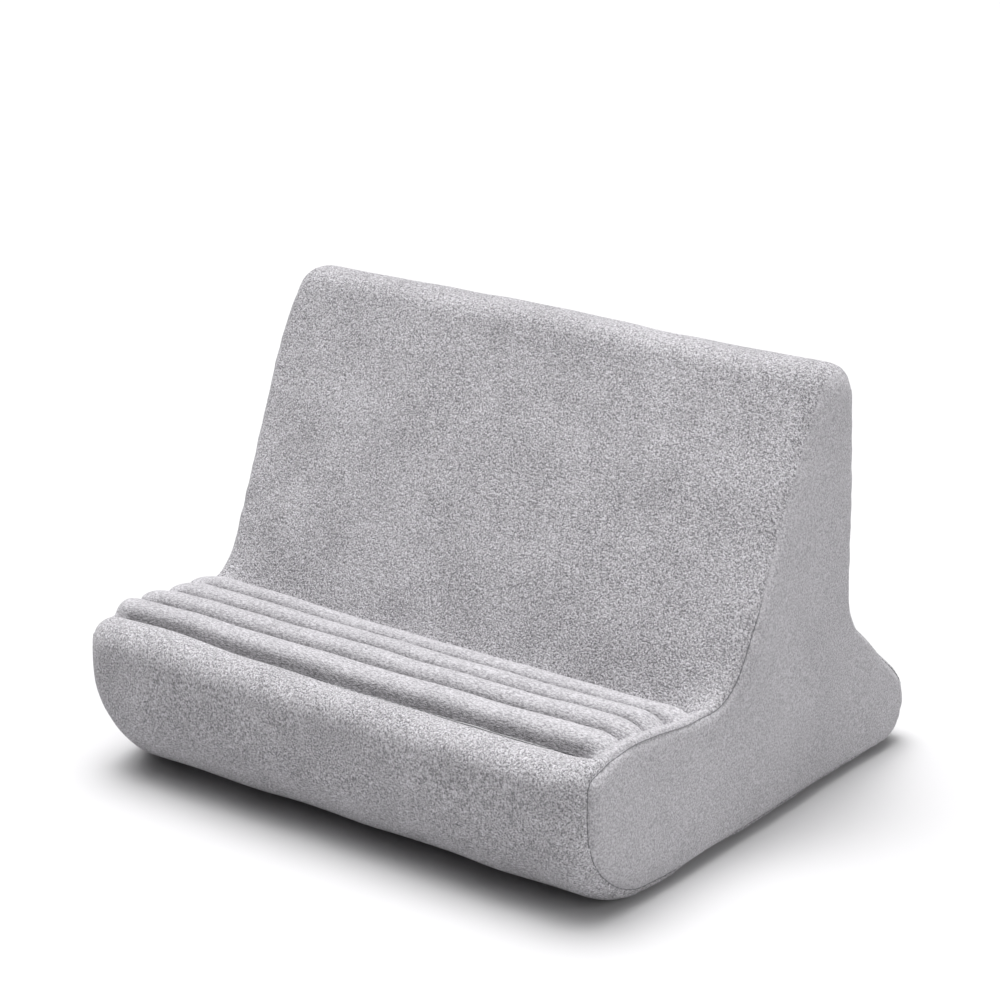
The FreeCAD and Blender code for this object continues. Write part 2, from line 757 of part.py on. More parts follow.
def stop_block(name, low_x, high_x, low_z, high_z):
    """A small rounded metal stop on the outer face of the tapes."""
    body = new_body(name)
    sketch = new_sketch(body, f"{name}_section", "XZ_Plane")
    rounding = dim("stop_round")
    draw_outline(sketch, [
        (low_x, low_z, rounding),
        (high_x, low_z, rounding),
        (high_x, high_z, rounding),
        (low_x, high_z, rounding),
    ])
    pad(body, sketch, dim("coil_rise"), backwards=True)
    place(body, 0, tape_face_y, dim("zip_height"))
    return body


def zip_stops():
    inner = dim("zip_slit")
    outer = dim("zip_slit") + dim("coil_width")
    near = dim("zip_coil_half")
    far = dim("zip_coil_half") + dim("stop_length")
    stops = [
        stop_block("top_stop_upper", near, far, inner, outer),
        stop_block("top_stop_lower", near, far, -outer, -inner),
    ]
    keep("zip_top_stops", gather("Compound", "top_stops", stops))
    keep("zip_bottom_stop", stop_block("bottom_stop", -far, -near, -outer, outer))


def slider_plate(body, name, lift, length):
    """One of the slider's two plates, wide at the end that leads when the zip closes."""
    sketch = new_sketch(body, name, "XZ_Plane", -lift)
    half = dim("slider_half")
    rear = dim("slider_rear")
    front = dim("slider_front")
    shoulder = half - dim("shoulder_back")
    snout = front - dim("snout_step")
    rounding = dim("slider_round")
    draw_outline(sketch, [
        (-half, -rear, rounding),
        (shoulder, -front, rounding),
        (half, -snout, rounding),
        (half, snout, rounding),
        (shoulder, front, rounding),
        (-half, rear, rounding),
    ])
    return pad(body, sketch, length, backwards=True)


def slider_block(body, name, lift, length, low, high):
    """A rectangular part of the slider, given by its x and z corners."""
    sketch = new_sketch(body, name, "XZ_Plane", -lift)
    draw_outline(sketch, [
        (low[0], low[1], None),
        (high[0], low[1], None),
        (high[0], high[1], None),
        (low[0], high[1], None),
    ])
    return pad(body, sketch, length, backwards=True)


def zip_slider():
    """Two plates joined by a thin post between the coils, with guide walls and a bridge."""
    body = new_body("slider")
    slider_plate(body, "top_plate_outline", top_plate_low, dim("plate"))
    post_half = dim("zip_slit") - dim("post_slack")
    weld = dim("weld")
    post_front = dim("slider_half") - dim("post_back")
    slider_block(
        body, "post_outline", bottom_plate_high - weld,
        top_plate_low - bottom_plate_high + weld * 2,
        (post_front - dim("post_length"), -post_half), (post_front, post_half),
    )
    slider_plate(body, "bottom_plate_outline", bottom_plate_low, dim("plate"))
    wall_near = dim("zip_slit") + dim("coil_width") + dim("slider_clear")
    wall_far = dim("slider_rear") - dim("wall_inset")
    wall_low = dim("slider_clear")
    wall_end = dim("slider_half") - dim("wall_back")
    wall_start = dim("wall_front") - dim("slider_half")
    for name, low_z, high_z in (
        ("upper_wall_outline", wall_near, wall_far),
        ("lower_wall_outline", -wall_far, -wall_near),
    ):
        slider_block(
            body, name, wall_low, top_plate_low - wall_low + weld,
            (wall_start, low_z), (wall_end, high_z),
        )
    arch = new_sketch(body, "bridge_outline", "XY_Plane")
    foot = dim("bridge_half_foot")
    crown = dim("bridge_half_top")
    top_y = hinge_lift + dim("bridge_hole") + dim("bridge_wall")
    foot_y = top_plate_high - weld
    draw_outline(arch, [
        (-foot, foot_y, None),
        (foot, foot_y, None),
        (crown, top_y, dim("slider_round")),
        (-crown, top_y, dim("slider_round")),
    ])
    pad(body, arch, dim("bridge_half_width") * 2, both_ways=True)
    eye = new_sketch(body, "bridge_eye", "XY_Plane")
    circle = Part.Circle(FreeCAD.Vector(0, hinge_lift.value, 0), FreeCAD.Vector(0, 0, 1),
                         dim("bridge_hole").value)
    ring = eye.addGeometry(circle, False)
    constrain(eye, "PointOnObject", ring, 3, -2)
    constrain(eye, "DistanceY", -1, 1, ring, 3, size=hinge_lift)
    constrain(eye, "Radius", ring, size=dim("bridge_hole"))
    pocket_through(body, eye)
    place(body, slider_x, tape_face_y, dim("zip_height"))
    keep("zip_slider", body)


def zip_pull():
    """A flat tab whose end bar hangs in the slider's bridge, with the bridge in its window."""
    body = new_body("pull")
    half = dim("pull_half_width")
    narrow = half - dim("pull_waist")
    bar = dim("pull_bar")
    thick = dim("pull_thick")
    sketch = new_sketch(body, "pull_outline", "XZ_Plane")
    draw_outline(sketch, [
        (-dim("pull_length"), -half, dim("pull_round")),
        (-dim("pull_window"), -half, dim("pull_round")),
        (bar, -narrow, dim("pull_bar_round")),
        (bar, narrow, dim("pull_bar_round")),
        (-dim("pull_window"), half, dim("pull_round")),
        (-dim("pull_length"), half, dim("pull_round")),
    ])
    pad(body, sketch, thick, both_ways=True)
    window = new_sketch(body, "pull_window_outline", "XZ_Plane")
    gap = dim("bridge_half_width") + dim("slider_clear")
    draw_outline(window, [
        (-dim("pull_window"), -gap, dim("pull_window_round")),
        (-bar, -gap, dim("pull_window_round")),
        (-bar, gap, dim("pull_window_round")),
        (-dim("pull_window"), gap, dim("pull_window_round")),
    ])
    pocket_through(body, window)
    hole = new_sketch(body, "pull_hole_outline", "XZ_Plane")
    centre_x = dim("pull_hole") - dim("pull_length") + dim("pull_hole_rim")
    circle = Part.Circle(FreeCAD.Vector(centre_x.value, 0, 0), FreeCAD.Vector(0, 0, 1),
                         dim("pull_hole").value)
    ring = hole.addGeometry(circle, False)
    constrain(hole, "PointOnObject", ring, 3, -1)
    constrain(hole, "DistanceX", -1, 1, ring, 3, size=centre_x)
    constrain(hole, "Radius", ring, size=dim("pull_hole"))
    pierced = pocket_through(body, hole)

    def on_flat_face(edge):
        bounds = edge.BoundBox
        return bounds.YLength < TOLERANCE and abs(bounds.XMin) > dim("pull_window").value / 4

    round_edges(body, pierced, dim("pull_edge"), on_flat_face)
    place(body, slider_x, tape_face_y + hinge_lift, dim("zip_height"))
    keep("zip_pull", body)


# ---------------------------------------------------------------------------------------
# Foam and label
# ---------------------------------------------------------------------------------------
def foam_core(lining):
    """The foam block, with room for the lining, the tapes and the slider's inner plate."""
    tape_pocket = box(
        "tape_pocket",
        (-tape_half_length, tape_face_y - dim("tape_thick"), dim("zip_height") - dim("tape_half")),
        (tape_half_length, tape_face_y + SKIN, dim("zip_height") + dim("tape_half")),
    )
    relief_half = dim("zip_coil_half") + dim("stop_length")
    relief_rise = dim("slider_front") + dim("slider_clear")
    slider_relief = box(
        "slider_relief",
        (-relief_half, tape_face_y + bottom_plate_low - dim("slider_clear"),
         dim("zip_height") - relief_rise),
        (relief_half, tape_face_y, dim("zip_height") + relief_rise),
    )
    room = gather("MultiFuse", "zip_room", [tape_pocket, slider_relief])
    lined = boolean("Cut", "foam_under_lining", inner_block, lining)
    keep("foam_core", boolean("Cut", "foam_open", lined, room))


def care_label():
    """A blank folded label that hangs from the zip's lower seam and lies on the cover."""
    outset_block = section_block("label_block", -dim("label_thick"))
    skin = boolean("Cut", "label_skin", outset_block, outer_block)
    cutter = box(
        "label_box",
        (dim("label_left"), FOAM_MIDDLE_Y, dim("label_top") - dim("label_drop")),
        (dim("label_left") + dim("label_width"), AIR_REAR, dim("label_top")),
    )
    keep("care_label", boolean("Common", "label_cut", skin, cutter))


# ---------------------------------------------------------------------------------------
# Build, test and write
# ---------------------------------------------------------------------------------------
def build():
    nose_panel()
    backrest_panel()
    base_panel()
    rear_panels()
    side_pieces()
    lining = ledge()
    channel_stitching()
    zip_stitching()
    zip_tapes_and_coils()
    zip_stops()
    zip_slider()
    zip_pull()
    foam_core(lining)
    care_label()
    doc.recompute()


def test_model():
    for item in doc.Objects:
        if "Invalid" in item.State or "Error" in item.State:
            raise RuntimeError(f"{item.Name} failed: {item.State}")
    for name, item in sub_parts.items():
        shape = item.Shape
        if shape.isNull() or not shape.isValid() or not shape.Solids:
            raise RuntimeError(f"{name} has no valid solid")


def write_parts():
    os.makedirs("parts", exist_ok=True)
    for name, item in sub_parts.items():
        item.Shape.exportStep(f"parts/{name}.step")
        print(f"{name}: {len(item.Shape.Solids)} solid(s), {item.Shape.Volume:.0f} mm3")


build()
test_model()
write_parts()
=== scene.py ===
"""Looks of the cushioned tablet stand: a foam block in a sewn plush cover with a zip behind.

The stand's section runs across X. Plush panels are thin closed shells laid over that section
and joined at seams, with foam, rib rolls and lining inside. Lengths are in millimetres until
a mesh is made, which is in metres.
"""
import math

import bpy
import numpy as np
from mathutils import Matrix, Vector
from mathutils.geometry import delaunay_2d_cdt


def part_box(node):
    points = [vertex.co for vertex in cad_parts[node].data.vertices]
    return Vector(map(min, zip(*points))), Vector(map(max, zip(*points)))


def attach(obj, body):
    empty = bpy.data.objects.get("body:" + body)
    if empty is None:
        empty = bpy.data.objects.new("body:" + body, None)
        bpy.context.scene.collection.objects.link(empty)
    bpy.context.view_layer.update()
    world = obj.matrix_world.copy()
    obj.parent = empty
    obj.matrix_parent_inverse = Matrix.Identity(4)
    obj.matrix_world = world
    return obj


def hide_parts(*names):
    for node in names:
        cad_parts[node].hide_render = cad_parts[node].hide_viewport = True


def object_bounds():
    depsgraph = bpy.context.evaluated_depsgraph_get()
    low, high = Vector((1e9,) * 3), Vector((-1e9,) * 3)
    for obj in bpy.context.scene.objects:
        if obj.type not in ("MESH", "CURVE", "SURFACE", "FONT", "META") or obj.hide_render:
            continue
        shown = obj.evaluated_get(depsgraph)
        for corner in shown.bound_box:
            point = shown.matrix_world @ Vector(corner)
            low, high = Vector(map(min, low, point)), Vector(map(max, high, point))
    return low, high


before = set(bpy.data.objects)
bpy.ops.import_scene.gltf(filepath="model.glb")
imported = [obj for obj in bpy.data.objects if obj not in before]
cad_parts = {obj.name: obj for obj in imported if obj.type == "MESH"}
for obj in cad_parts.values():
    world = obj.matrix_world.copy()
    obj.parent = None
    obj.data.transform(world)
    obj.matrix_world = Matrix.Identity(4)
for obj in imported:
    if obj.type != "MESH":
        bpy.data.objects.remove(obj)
cad_low, cad_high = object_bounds()

MM = 0.001
SHARP_EDGE = math.radians(60.0)
HALF = cad_high.x / MM        # half of the stand's width
TOP = cad_high.z / MM         # top edge
NOSE_Y = cad_low.y / MM       # front of the nose

# Corners of the section, anticlockwise seen from +X: y, z, radius of the corner.
LEDGE_TILT = math.tan(math.radians(6.3))
GROOVE_Y, GROOVE_Z = -101.2, 66.8
LEDGE_END_Y = -36.8
CREASE_Y, CREASE_Z = -31.5, 55.5
REAR_Y = 69.0


def ledge_floor(y):
    """Height of the ledge between its ribs."""
    return GROOVE_Z - LEDGE_TILT * (y - GROOVE_Y)


CORNERS = [
    (NOSE_Y, 0.0, 41.0),
    (150.8, 0.0, 19.2),
    (REAR_Y, 73.6, 26.0),
    (REAR_Y, TOP, 13.5),
    (45.5, TOP, 13.5),
    (CREASE_Y, CREASE_Z, 3.0),
    (LEDGE_END_Y, ledge_floor(LEDGE_END_Y), 7.0),
    (GROOVE_Y, GROOVE_Z, 2.0),
    (-105.0, 70.0, 8.0),
    (NOSE_Y, 70.0, 11.0),
]

# How far the ledge and lip stand off that section in the photo, by y: at the left end, then
# at the right.
CROWN = [
    (-121.0, 0.0, -2.0),
    (-112.0, 0.0, -3.2),
    (-105.0, 0.0, -3.4),
    (-101.2, -0.2, -1.6),
    (-91.4, -0.4, -0.3),
    (-75.8, 2.0, 2.0),
    (-60.2, 3.0, 1.3),
    (-44.6, 3.2, 0.0),
    (-36.8, 1.4, -0.3),
    (-31.0, 0.0, 0.0),
]

# How far the ledge is drawn up to the side seams in the photo, by y, and what share of it on
# each side.
SEAM_RISE = [
    (-108.0, 0.0),
    (-104.0, 0.8),
    (-101.2, 3.0),
    (-97.0, 3.4),
    (-92.0, 4.2),
    (-85.4, 5.4),
    (-77.6, 5.4),
    (-66.7, 5.0),
    (-59.0, 4.6),
    (-51.0, 4.2),
    (-44.0, 4.3),
    (-38.5, 4.6),
    (-33.0, 3.6),
    (-29.0, 2.5),
    (-24.0, 0.7),
    (-19.0, 0.0),
]
SEAM_RISE_SHARE = {-1: 0.3, 1: 1.0}

# The stand's two ends, place by place round the section: as the photo shows them, and
# inferred where it doesn't. Each row has a place's y and z, and for the left end and then
# the right one: how far it stands out beyond the stand's half width, the radius that its
# edge is rounded to, and how far in the seam lies.
ENDS = [
    (-60.0, 0.0, -3.0, 15.0, 3.0, 0.0, 13.0, 3.0),
    (60.0, 0.0, -1.0, 9.0, 3.0, 1.0, 12.0, 3.0),
    (113.0, 6.0, 0.0, 6.0, 2.5, 0.8, 8.0, 3.0),
    (119.0, 24.0, 0.0, 5.0, 2.0, 0.6, 6.0, 2.0),
    (90.0, 54.0, 0.0, 5.0, 2.0, 0.6, 5.0, 2.0),
    (69.0, 100.0, 0.0, 5.0, 2.0, 0.8, 5.0, 2.0),
    (69.0, 160.0, 1.0, 6.0, 2.0, 1.0, 6.0, 2.0),
    (66.0, TOP - 3, 2.5, 9.0, 2.5, 1.0, 9.0, 3.0),
    (47.0, TOP - 2, 4.4, 7.0, 2.5, 0.0, 10.0, 3.0),
    (34.0, 172.0, 5.8, 6.5, 2.0, -0.5, 11.0, 3.0),
    (25.7, 157.0, 5.2, 6.0, 2.0, -0.5, 12.0, 3.0),
    (14.4, 137.0, 2.8, 6.0, 2.0, 0.2, 11.0, 3.0),
    (-4.8, 103.0, -1.0, 6.0, 2.0, 2.6, 7.5, 2.2),
    (-20.0, 76.0, -4.0, 7.0, 2.5, 2.2, 7.0, 2.2),
    (CREASE_Y, CREASE_Z, -3.0, 6.0, 1.6, -2.0, 4.5, 0.9),
    (LEDGE_END_Y, 60.3, -2.0, 4.0, 1.2, -3.4, 3.5, 0.8),
    (-60.0, 62.9, -2.2, 4.0, 1.2, -4.0, 3.5, 0.8),
    (-92.0, 66.2, -3.0, 6.0, 1.4, -4.2, 5.0, 0.9),
    (-105.0, 70.0, -4.5, 15.0, 2.0, -4.4, 8.0, 1.1),
    (-118.0, 66.0, -5.0, 20.0, 2.4, -4.2, 13.0, 1.8),
    (NOSE_Y, 45.0, -4.7, 17.0, 2.4, -4.2, 15.0, 2.4),
    (-118.0, 26.0, -6.0, 23.0, 2.8, -4.0, 16.0, 2.4),
    (-108.0, 10.0, -6.5, 24.0, 3.0, -3.6, 17.0, 2.6),
]

SEAM_X = HALF - 4.0           # side seams, on the rounded edge
SEAM_DIP = 0.9                # how far the cloth is drawn in at a seam
COVER = 1.8                   # plush and its backing
PUCKER = 0.14                 # small folds beside the side seams

RIB_PITCH = 15.6
RIB_CENTRES = [GROOVE_Y + 9.8 + RIB_PITCH * k for k in range(4)]
RIB_HALF = 7.75               # half of a rib's width
RIB_HIGH = 6.3                # its crest above the floor of the ledge
RIB_BLUFF = 2.3               # 2 makes its section an ellipse, more makes it squarer
RIB_STRAIGHT = {-1: 126.5, 1: 118.5}   # middle to where a rib rounds off, left and right
RIB_END = {-1: 8.5, 1: 14.6}           # length of its rounded end
CHANNEL_HALF = 117.0          # half of the length of the rows of stitches
GROOVE_DEPTH = 1.5            # how far the stitching draws the grooves below the floor
FIRST_GROOVE_DEPTH = 4.4      # the one behind the lip is deeper
CREASE_BLUR = 12.0            # the crease is shallow beside the side seams
GROOVE_BLUR = 3.2             # and so is the first groove

ZIP_Z = 101.0
ZIP_WINDOW_X, ZIP_WINDOW_Z = 115.7, 5.6    # half of the opening between the panels' edges
ZIP_SLIT = 0.5                # middle of the zip to each tape
TAPE_WIDE = 14.5
ZIP_ROW = 8.1                 # middle of the zip to each row of stitches
COIL_PITCH = 1.45
COIL_WIRE = 0.42              # half of the nylon's thickness
STITCH_PITCH = 3.6
SEAM_PITCH = 3.4              # one stitch of the side seams
LINING_HALF = CHANNEL_HALF + 14.0
LINING_UNDER = 2.2            # floor of the ledge to the lining
LINING = 0.8                  # thickness of the lining
FOAM_UNDER = 4.4              # outside of the cover to the foam
ZIP_RELIEF = 5.5              # the foam is cut this much deeper behind the zip
ROLL_HALF = 5.0               # half of a rib roll's width
ROLL_HIGH, ROLL_LOW = 2.9, 0.5    # its height above and below its middle
ROLL_UP = 0.6                 # floor of the ledge to its middle
LABEL = 0.55                  # thickness of the folded label
SIDE_MESH = 2.1               # distance between a side panel's points
BATCH = 2000                  # points that are measured against the outline at once

TUFTS, PILE = 0.85, 0.45      # size of the plush's tufts and of the pile on them
SHADE_HALF = 120.0            # middle to where the painted shade of the ribs starts to fade
SHADE_FADE = 12.0             # length over which it fades
CREST = 0.6                   # share of the pitch at which a rib has no painted shade
WAVE_SCALE = 0.314            # Blender's bands are this far apart at scale 1

# Floor, light and camera: places and lengths in metres.
FLOOR_HALF = 12.0
KEY_FROM = Vector((-0.16, 0.02, 1.0)).normalized()
KEY_LIGHT = 12.6              # brightness of the middle of the overhead softbox
KEY_SPREAD = 14.0             # how quickly it falls off to its edges
SKY_LIGHT = 0.10              # brightness of the rest of the room
SIDE_FROM = Vector((0.93, 0.16, 0.32)).normalized()
SIDE_LIGHT = 0.93             # strength of the soft lamp at the right
SIDE_SPREAD = math.radians(50.0)
CAMERA_AT = (0.6792, -0.8714, 0.4955)
CAMERA_AHEAD = Vector((-0.57836, 0.74874, -0.32388)).normalized()
CAMERA_UP = Vector((-0.18644, 0.26520, 0.94600))
CAMERA_LENS = 97.85           # focal length in mm on a 36 mm sensor


# ----- The section as a line that can be walked along -----
def rounded_line(corners, step=0.2):
    """Points about a step apart on the closed outline, with its corners rounded."""
    made = []
    count = len(corners)
    for i in range(count):
        here = np.array(corners[i][:2])
        before = here - np.array(corners[i - 1][:2])
        after = np.array(corners[(i + 1) % count][:2]) - here
        before /= np.linalg.norm(before)
        after /= np.linalg.norm(after)
        turn = math.atan2(before[0] * after[1] - before[1] * after[0], before @ after)
        radius = corners[i][2]
        start = here - before * radius * math.tan(abs(turn) / 2)
        pieces = max(2, int(abs(turn) * radius / step))
        sideways = np.array([-before[1], before[0]]) * math.copysign(1.0, turn)
        centre = start + sideways * radius
        for k in range(pieces + 1):
            swing = turn * k / pieces
            spin = np.array([[math.cos(swing), -math.sin(swing)],
                             [math.sin(swing), math.cos(swing)]])
            made.append(centre + spin @ (start - centre))
    made = np.array(made)
    ends = np.roll(made, -1, axis=0)
    filled = []
    for a, b in zip(made, ends):
        length = np.linalg.norm(b - a)
        share = np.linspace(0, 1, max(1, int(length / step)), endpoint=False)[:, None]
        filled.append(a + (b - a) * share)
    return np.concatenate(filled)


LINE = rounded_line(CORNERS)
STEPS = np.linalg.norm(np.roll(LINE, -1, axis=0) - LINE, axis=1)
GIRTH = STEPS.sum()
WALK = np.concatenate([[0.0], np.cumsum(STEPS)])


def smooth_loop(values, passes):
    """Values round the loop, averaged with their neighbours."""
    for _ in range(passes):
        values = (np.roll(values, 1, axis=0) + values * 2 + np.roll(values, -1, axis=0)) / 4
    return values


def blurred_line(reach):
    """The outline with its corners cut by averaging over a distance of about reach."""
    pace = np.fft.rfftfreq(len(LINE), d=GIRTH / len(LINE))[:, None]
    waves = np.fft.rfft(LINE, axis=0) * np.exp(-2 * (math.pi * pace * reach) ** 2)
    return np.fft.irfft(waves, n=len(LINE), axis=0)


def with_normals(line):
    """An outline and its outward normals, closed up for reading along the loop."""
    along = np.roll(line, -1, axis=0) - np.roll(line, 1, axis=0)
    along = smooth_loop(along / np.linalg.norm(along, axis=1)[:, None], 20)
    along /= np.linalg.norm(along, axis=1)[:, None]
    table = np.hstack([line, along[:, 1:], -along[:, :1]])
    return np.vstack([table, table[:1]])


SHARP_LINE = with_normals(LINE)
SOFT_CREASE = with_normals(blurred_line(CREASE_BLUR))
SOFT_GROOVE = with_normals(blurred_line(GROOVE_BLUR))


def on_loop(table, u):
    """A table of values round the loop, read at the distances u along it."""
    u = np.mod(u, GIRTH)
    if table.ndim == 1:
        return np.interp(u, WALK, table)
    return np.stack([np.interp(u, WALK, table[:, k]) for k in range(table.shape[1])], axis=-1)


def station(y, z):
    """Distance along the loop to its point nearest to (y, z)."""
    return WALK[np.argmin(np.hypot(LINE[:, 0] - y, LINE[:, 1] - z))]


def end_table(column):
    """One column of the rows for the stand's ends, spread evenly round the loop."""
    marks = sorted((station(row[0], row[1]), row[column]) for row in ENDS)
    places = np.array([mark[0] for mark in marks])
    sizes = np.array([mark[1] for mark in marks])
    spread = smooth_loop(np.interp(WALK[:-1], places, sizes, period=GIRTH), 500)
    return np.append(spread, spread[0])


END_TABLES = {-1: [end_table(k) for k in (2, 3, 4)], 1: [end_table(k) for k in (5, 6, 7)]}


def end_shape(u, side):
    """Half width, edge radius and seam inset at distances u, on the sides given by sign."""
    left = [on_loop(table, u) for table in END_TABLES[-1]]
    right = [on_loop(table, u) for table in END_TABLES[1]]
    proud, edge, inset = (np.where(side < 0, a, b) for a, b in zip(left, right))
    return HALF + proud, edge, inset


AT_BASE = station(-79.0, 0.0)
AT_FOOT = station(119.9, 19.2)
AT_ZIP = station(REAR_Y, ZIP_Z)
AT_TOP_SEAM = station(REAR_Y, 176.0)
AT_CREASE = station(-32.0, 56.4)
AT_GROOVE = station(GROOVE_Y, GROOVE_Z)


def smoothstep(value, low, high):
    """0 up to low, 1 from high on, and a smooth rise between them."""
    t = np.clip((value - low) / (high - low), 0, 1)
    return t * t * (3 - 2 * t)


def ripples(points, wavelength, seed, waves=14):
    """A smooth random field from -1 to 1, with about that wavelength."""
    dice = np.random.default_rng(seed)
    points = np.asarray(points, float)
    total = np.zeros(points.shape[:-1])
    for _ in range(waves):
        heading = dice.normal(size=points.shape[-1])
        heading /= np.linalg.norm(heading)
        pace = 2 * math.pi / (wavelength * dice.uniform(0.7, 1.6))
        total += np.sin(points @ heading * pace + dice.uniform(0, 2 * math.pi))
    return total / math.sqrt(waves)


def around(u, middle):
    """Signed distance along the loop from the place called middle."""
    return np.mod(u - middle + GIRTH / 2, GIRTH) - GIRTH / 2


# ----- The cover's outer surface -----
def smooth_column(places, values, spots):
    """A table's values at even spots, with its kinks smoothed out."""
    made = np.interp(spots, places, values)
    weights = np.exp(-(np.arange(-24, 25) / 10.0) ** 2)
    return np.convolve(np.pad(made, 24, mode="edge"), weights / weights.sum(), mode="valid")


CROWN_Y = np.arange(-121.0, -30.5, 0.4)
RISE_Y = np.arange(-112.0, -14.5, 0.4)
RISE = smooth_column([row[0] for row in SEAM_RISE], [row[1] for row in SEAM_RISE], RISE_Y)
CROWN_LEFT = smooth_column([row[0] for row in CROWN], [row[1] for row in CROWN], CROWN_Y)
CROWN_RIGHT = smooth_column([row[0] for row in CROWN], [row[2] for row in CROWN], CROWN_Y)


def rib_height(y, x):
    """How far the ribs stand above the floor of the ledge."""
    side = np.abs(x)
    to_seam = smoothstep(side, 123.0, SEAM_X - 1.0)
    high = np.zeros(np.broadcast(y, x).shape)
    straight = np.where(x < 0, RIB_STRAIGHT[-1], RIB_STRAIGHT[1])
    end = np.where(x < 0, RIB_END[-1], RIB_END[1])
    draw = 0.0
    for number, centre in enumerate(RIB_CENTRES):
        wander = 1.2 * math.sin(2.1 * number + 0.6)
        past = np.clip(side - straight - wander, 0, None) / end
        left = 1 - np.abs((y - centre) / RIB_HALF) ** RIB_BLUFF - past ** RIB_BLUFF
        rib = RIB_HIGH * np.clip(left, 0, None) ** (1 / RIB_BLUFF)
        high = soft_maximum(high, np.where(left > 0, rib, -1.0), 0.5)
        if number:
            draw = draw + np.exp(-((y - centre + RIB_PITCH / 2) / 0.9) ** 2)
    return high - GROOVE_DEPTH * draw * (1 - to_seam)


def soft_maximum(a, b, blend):
    """The larger of two heights, with a small fillet where they meet."""
    return (a + b + np.sqrt((a - b) ** 2 + blend ** 2)) / 2


def section_at(u, across, ribs=True):
    """The section's points and normals at distances u, with what rises and falls across it."""
    side = np.abs(across)
    crease = np.exp(-(around(u, AT_CREASE) / 22.0) ** 4) * smoothstep(side, 108.0, SEAM_X - 4.0)
    groove = np.exp(-(around(u, AT_GROOVE) / 7.0) ** 4) * smoothstep(side, 124.0, SEAM_X - 1.0)
    table = on_loop(SHARP_LINE, u)
    table = table + (on_loop(SOFT_CREASE, u) - table) * crease[..., None]
    table = table + (on_loop(SOFT_GROOVE, u) - table) * groove[..., None]
    place, out = table[..., :2], table[..., 2:]
    out = out / np.linalg.norm(out, axis=-1)[..., None]
    first = FIRST_GROOVE_DEPTH * np.exp(-(around(u, AT_GROOVE) / 1.7) ** 2)
    lift = slow_lift(side, place) - first * (1 - smoothstep(side, 122.0, SEAM_X - 3.0))
    if ribs:
        lift = lift + ledge_lift(u, across, place)
    place = place + out * lift[..., None]
    place[..., 1] += crown(across, table[..., 0], table[..., 1])
    drawn = seam_rise(across, table[..., 0], table[..., 1])
    place[..., 1] += np.where(drawn > 0, soft_maximum(drawn - np.clip(lift, 0, None), 0, 0.4), 0)
    return place, out


def seam_rise(x, y, z):
    """How far the ledge is drawn up close to the side seams."""
    share = np.where(x < 0, SEAM_RISE_SHARE[-1], SEAM_RISE_SHARE[1])
    to_seam = smoothstep(np.abs(x), 125.0, SEAM_X - 1.0)
    return share * to_seam * np.interp(y, RISE_Y, RISE) * (z > 50.0) * (z < 90.0)


def crown(x, y, z):
    """How far the ledge and the lip really stand above or below their place in the section."""
    share = smoothstep(x, -95.0, -40.0) * 0.6 + smoothstep(x, -60.0, 100.0) * 0.4
    left = np.interp(y, CROWN_Y, CROWN_LEFT)
    right = np.interp(y, CROWN_Y, CROWN_RIGHT)
    rise = left + (right - left) * share
    held = 0.5 + 0.5 * smoothstep(y, GROOVE_Y - 2, GROOVE_Y + 3)
    at_seam = smoothstep(np.abs(x), 116.0, SEAM_X - 2.0) * held
    return rise * (1 - at_seam) * smoothstep(z, 44.0, 60.0) * (y < -30.9) * (z < 80.0)


def ledge_lift(u, across, place):
    """The ribs, faded out at the first groove and at the crease."""
    on_ledge = (around(u, AT_GROOVE) < 0) & (around(u, AT_CREASE) > 0)
    fade = smoothstep(-around(u, AT_GROOVE), 0.0, 2.5) * smoothstep(around(u, AT_CREASE), 3.0, 9.0)
    return np.where(on_ledge, rib_height(place[..., 0], across) * fade, 0.0)


def slow_lift(side, place):
    """The top edge droops towards its ends, and the rear face is a little hollow."""
    y, z = place[..., 0], place[..., 1]
    hollow = np.exp(-((z - 162.0) / 26.0) ** 2) * smoothstep(y, 60.0, 67.0)
    return -1.0 * (side / HALF) ** 4 * smoothstep(z, 172.0, 190.0) - 0.9 * hollow


def unevenness(points, u, x):
    """The small hollows and swells of a cover sewn from soft cloth."""
    slow = 0.42 * ripples(points, 70.0, 11) + 0.20 * ripples(points, 28.0, 12)
    flat = np.stack([u, (HALF - np.abs(x)) / 3.5], axis=-1)
    near = np.exp(-np.clip(SEAM_X - np.abs(x), 0, None) / 6.0)
    fold = ripples(flat, 9.0, 13) + 0.5 * ripples(flat, 5.0, 14)
    return slow + PUCKER * near * fold


def top_droop(points):
    """How far the top edge hangs down, most of all towards its right end."""
    x, z = points[..., 0], points[..., 2]
    hang = 0.9 * smoothstep(x, -140.0, -95.0) + 2.4 * smoothstep(x, -95.0, 110.0)
    hang = hang + 0.5 * (np.clip(x, 0, None) / HALF) ** 6
    return hang * smoothstep(z, 105.0, TOP - 6.0)


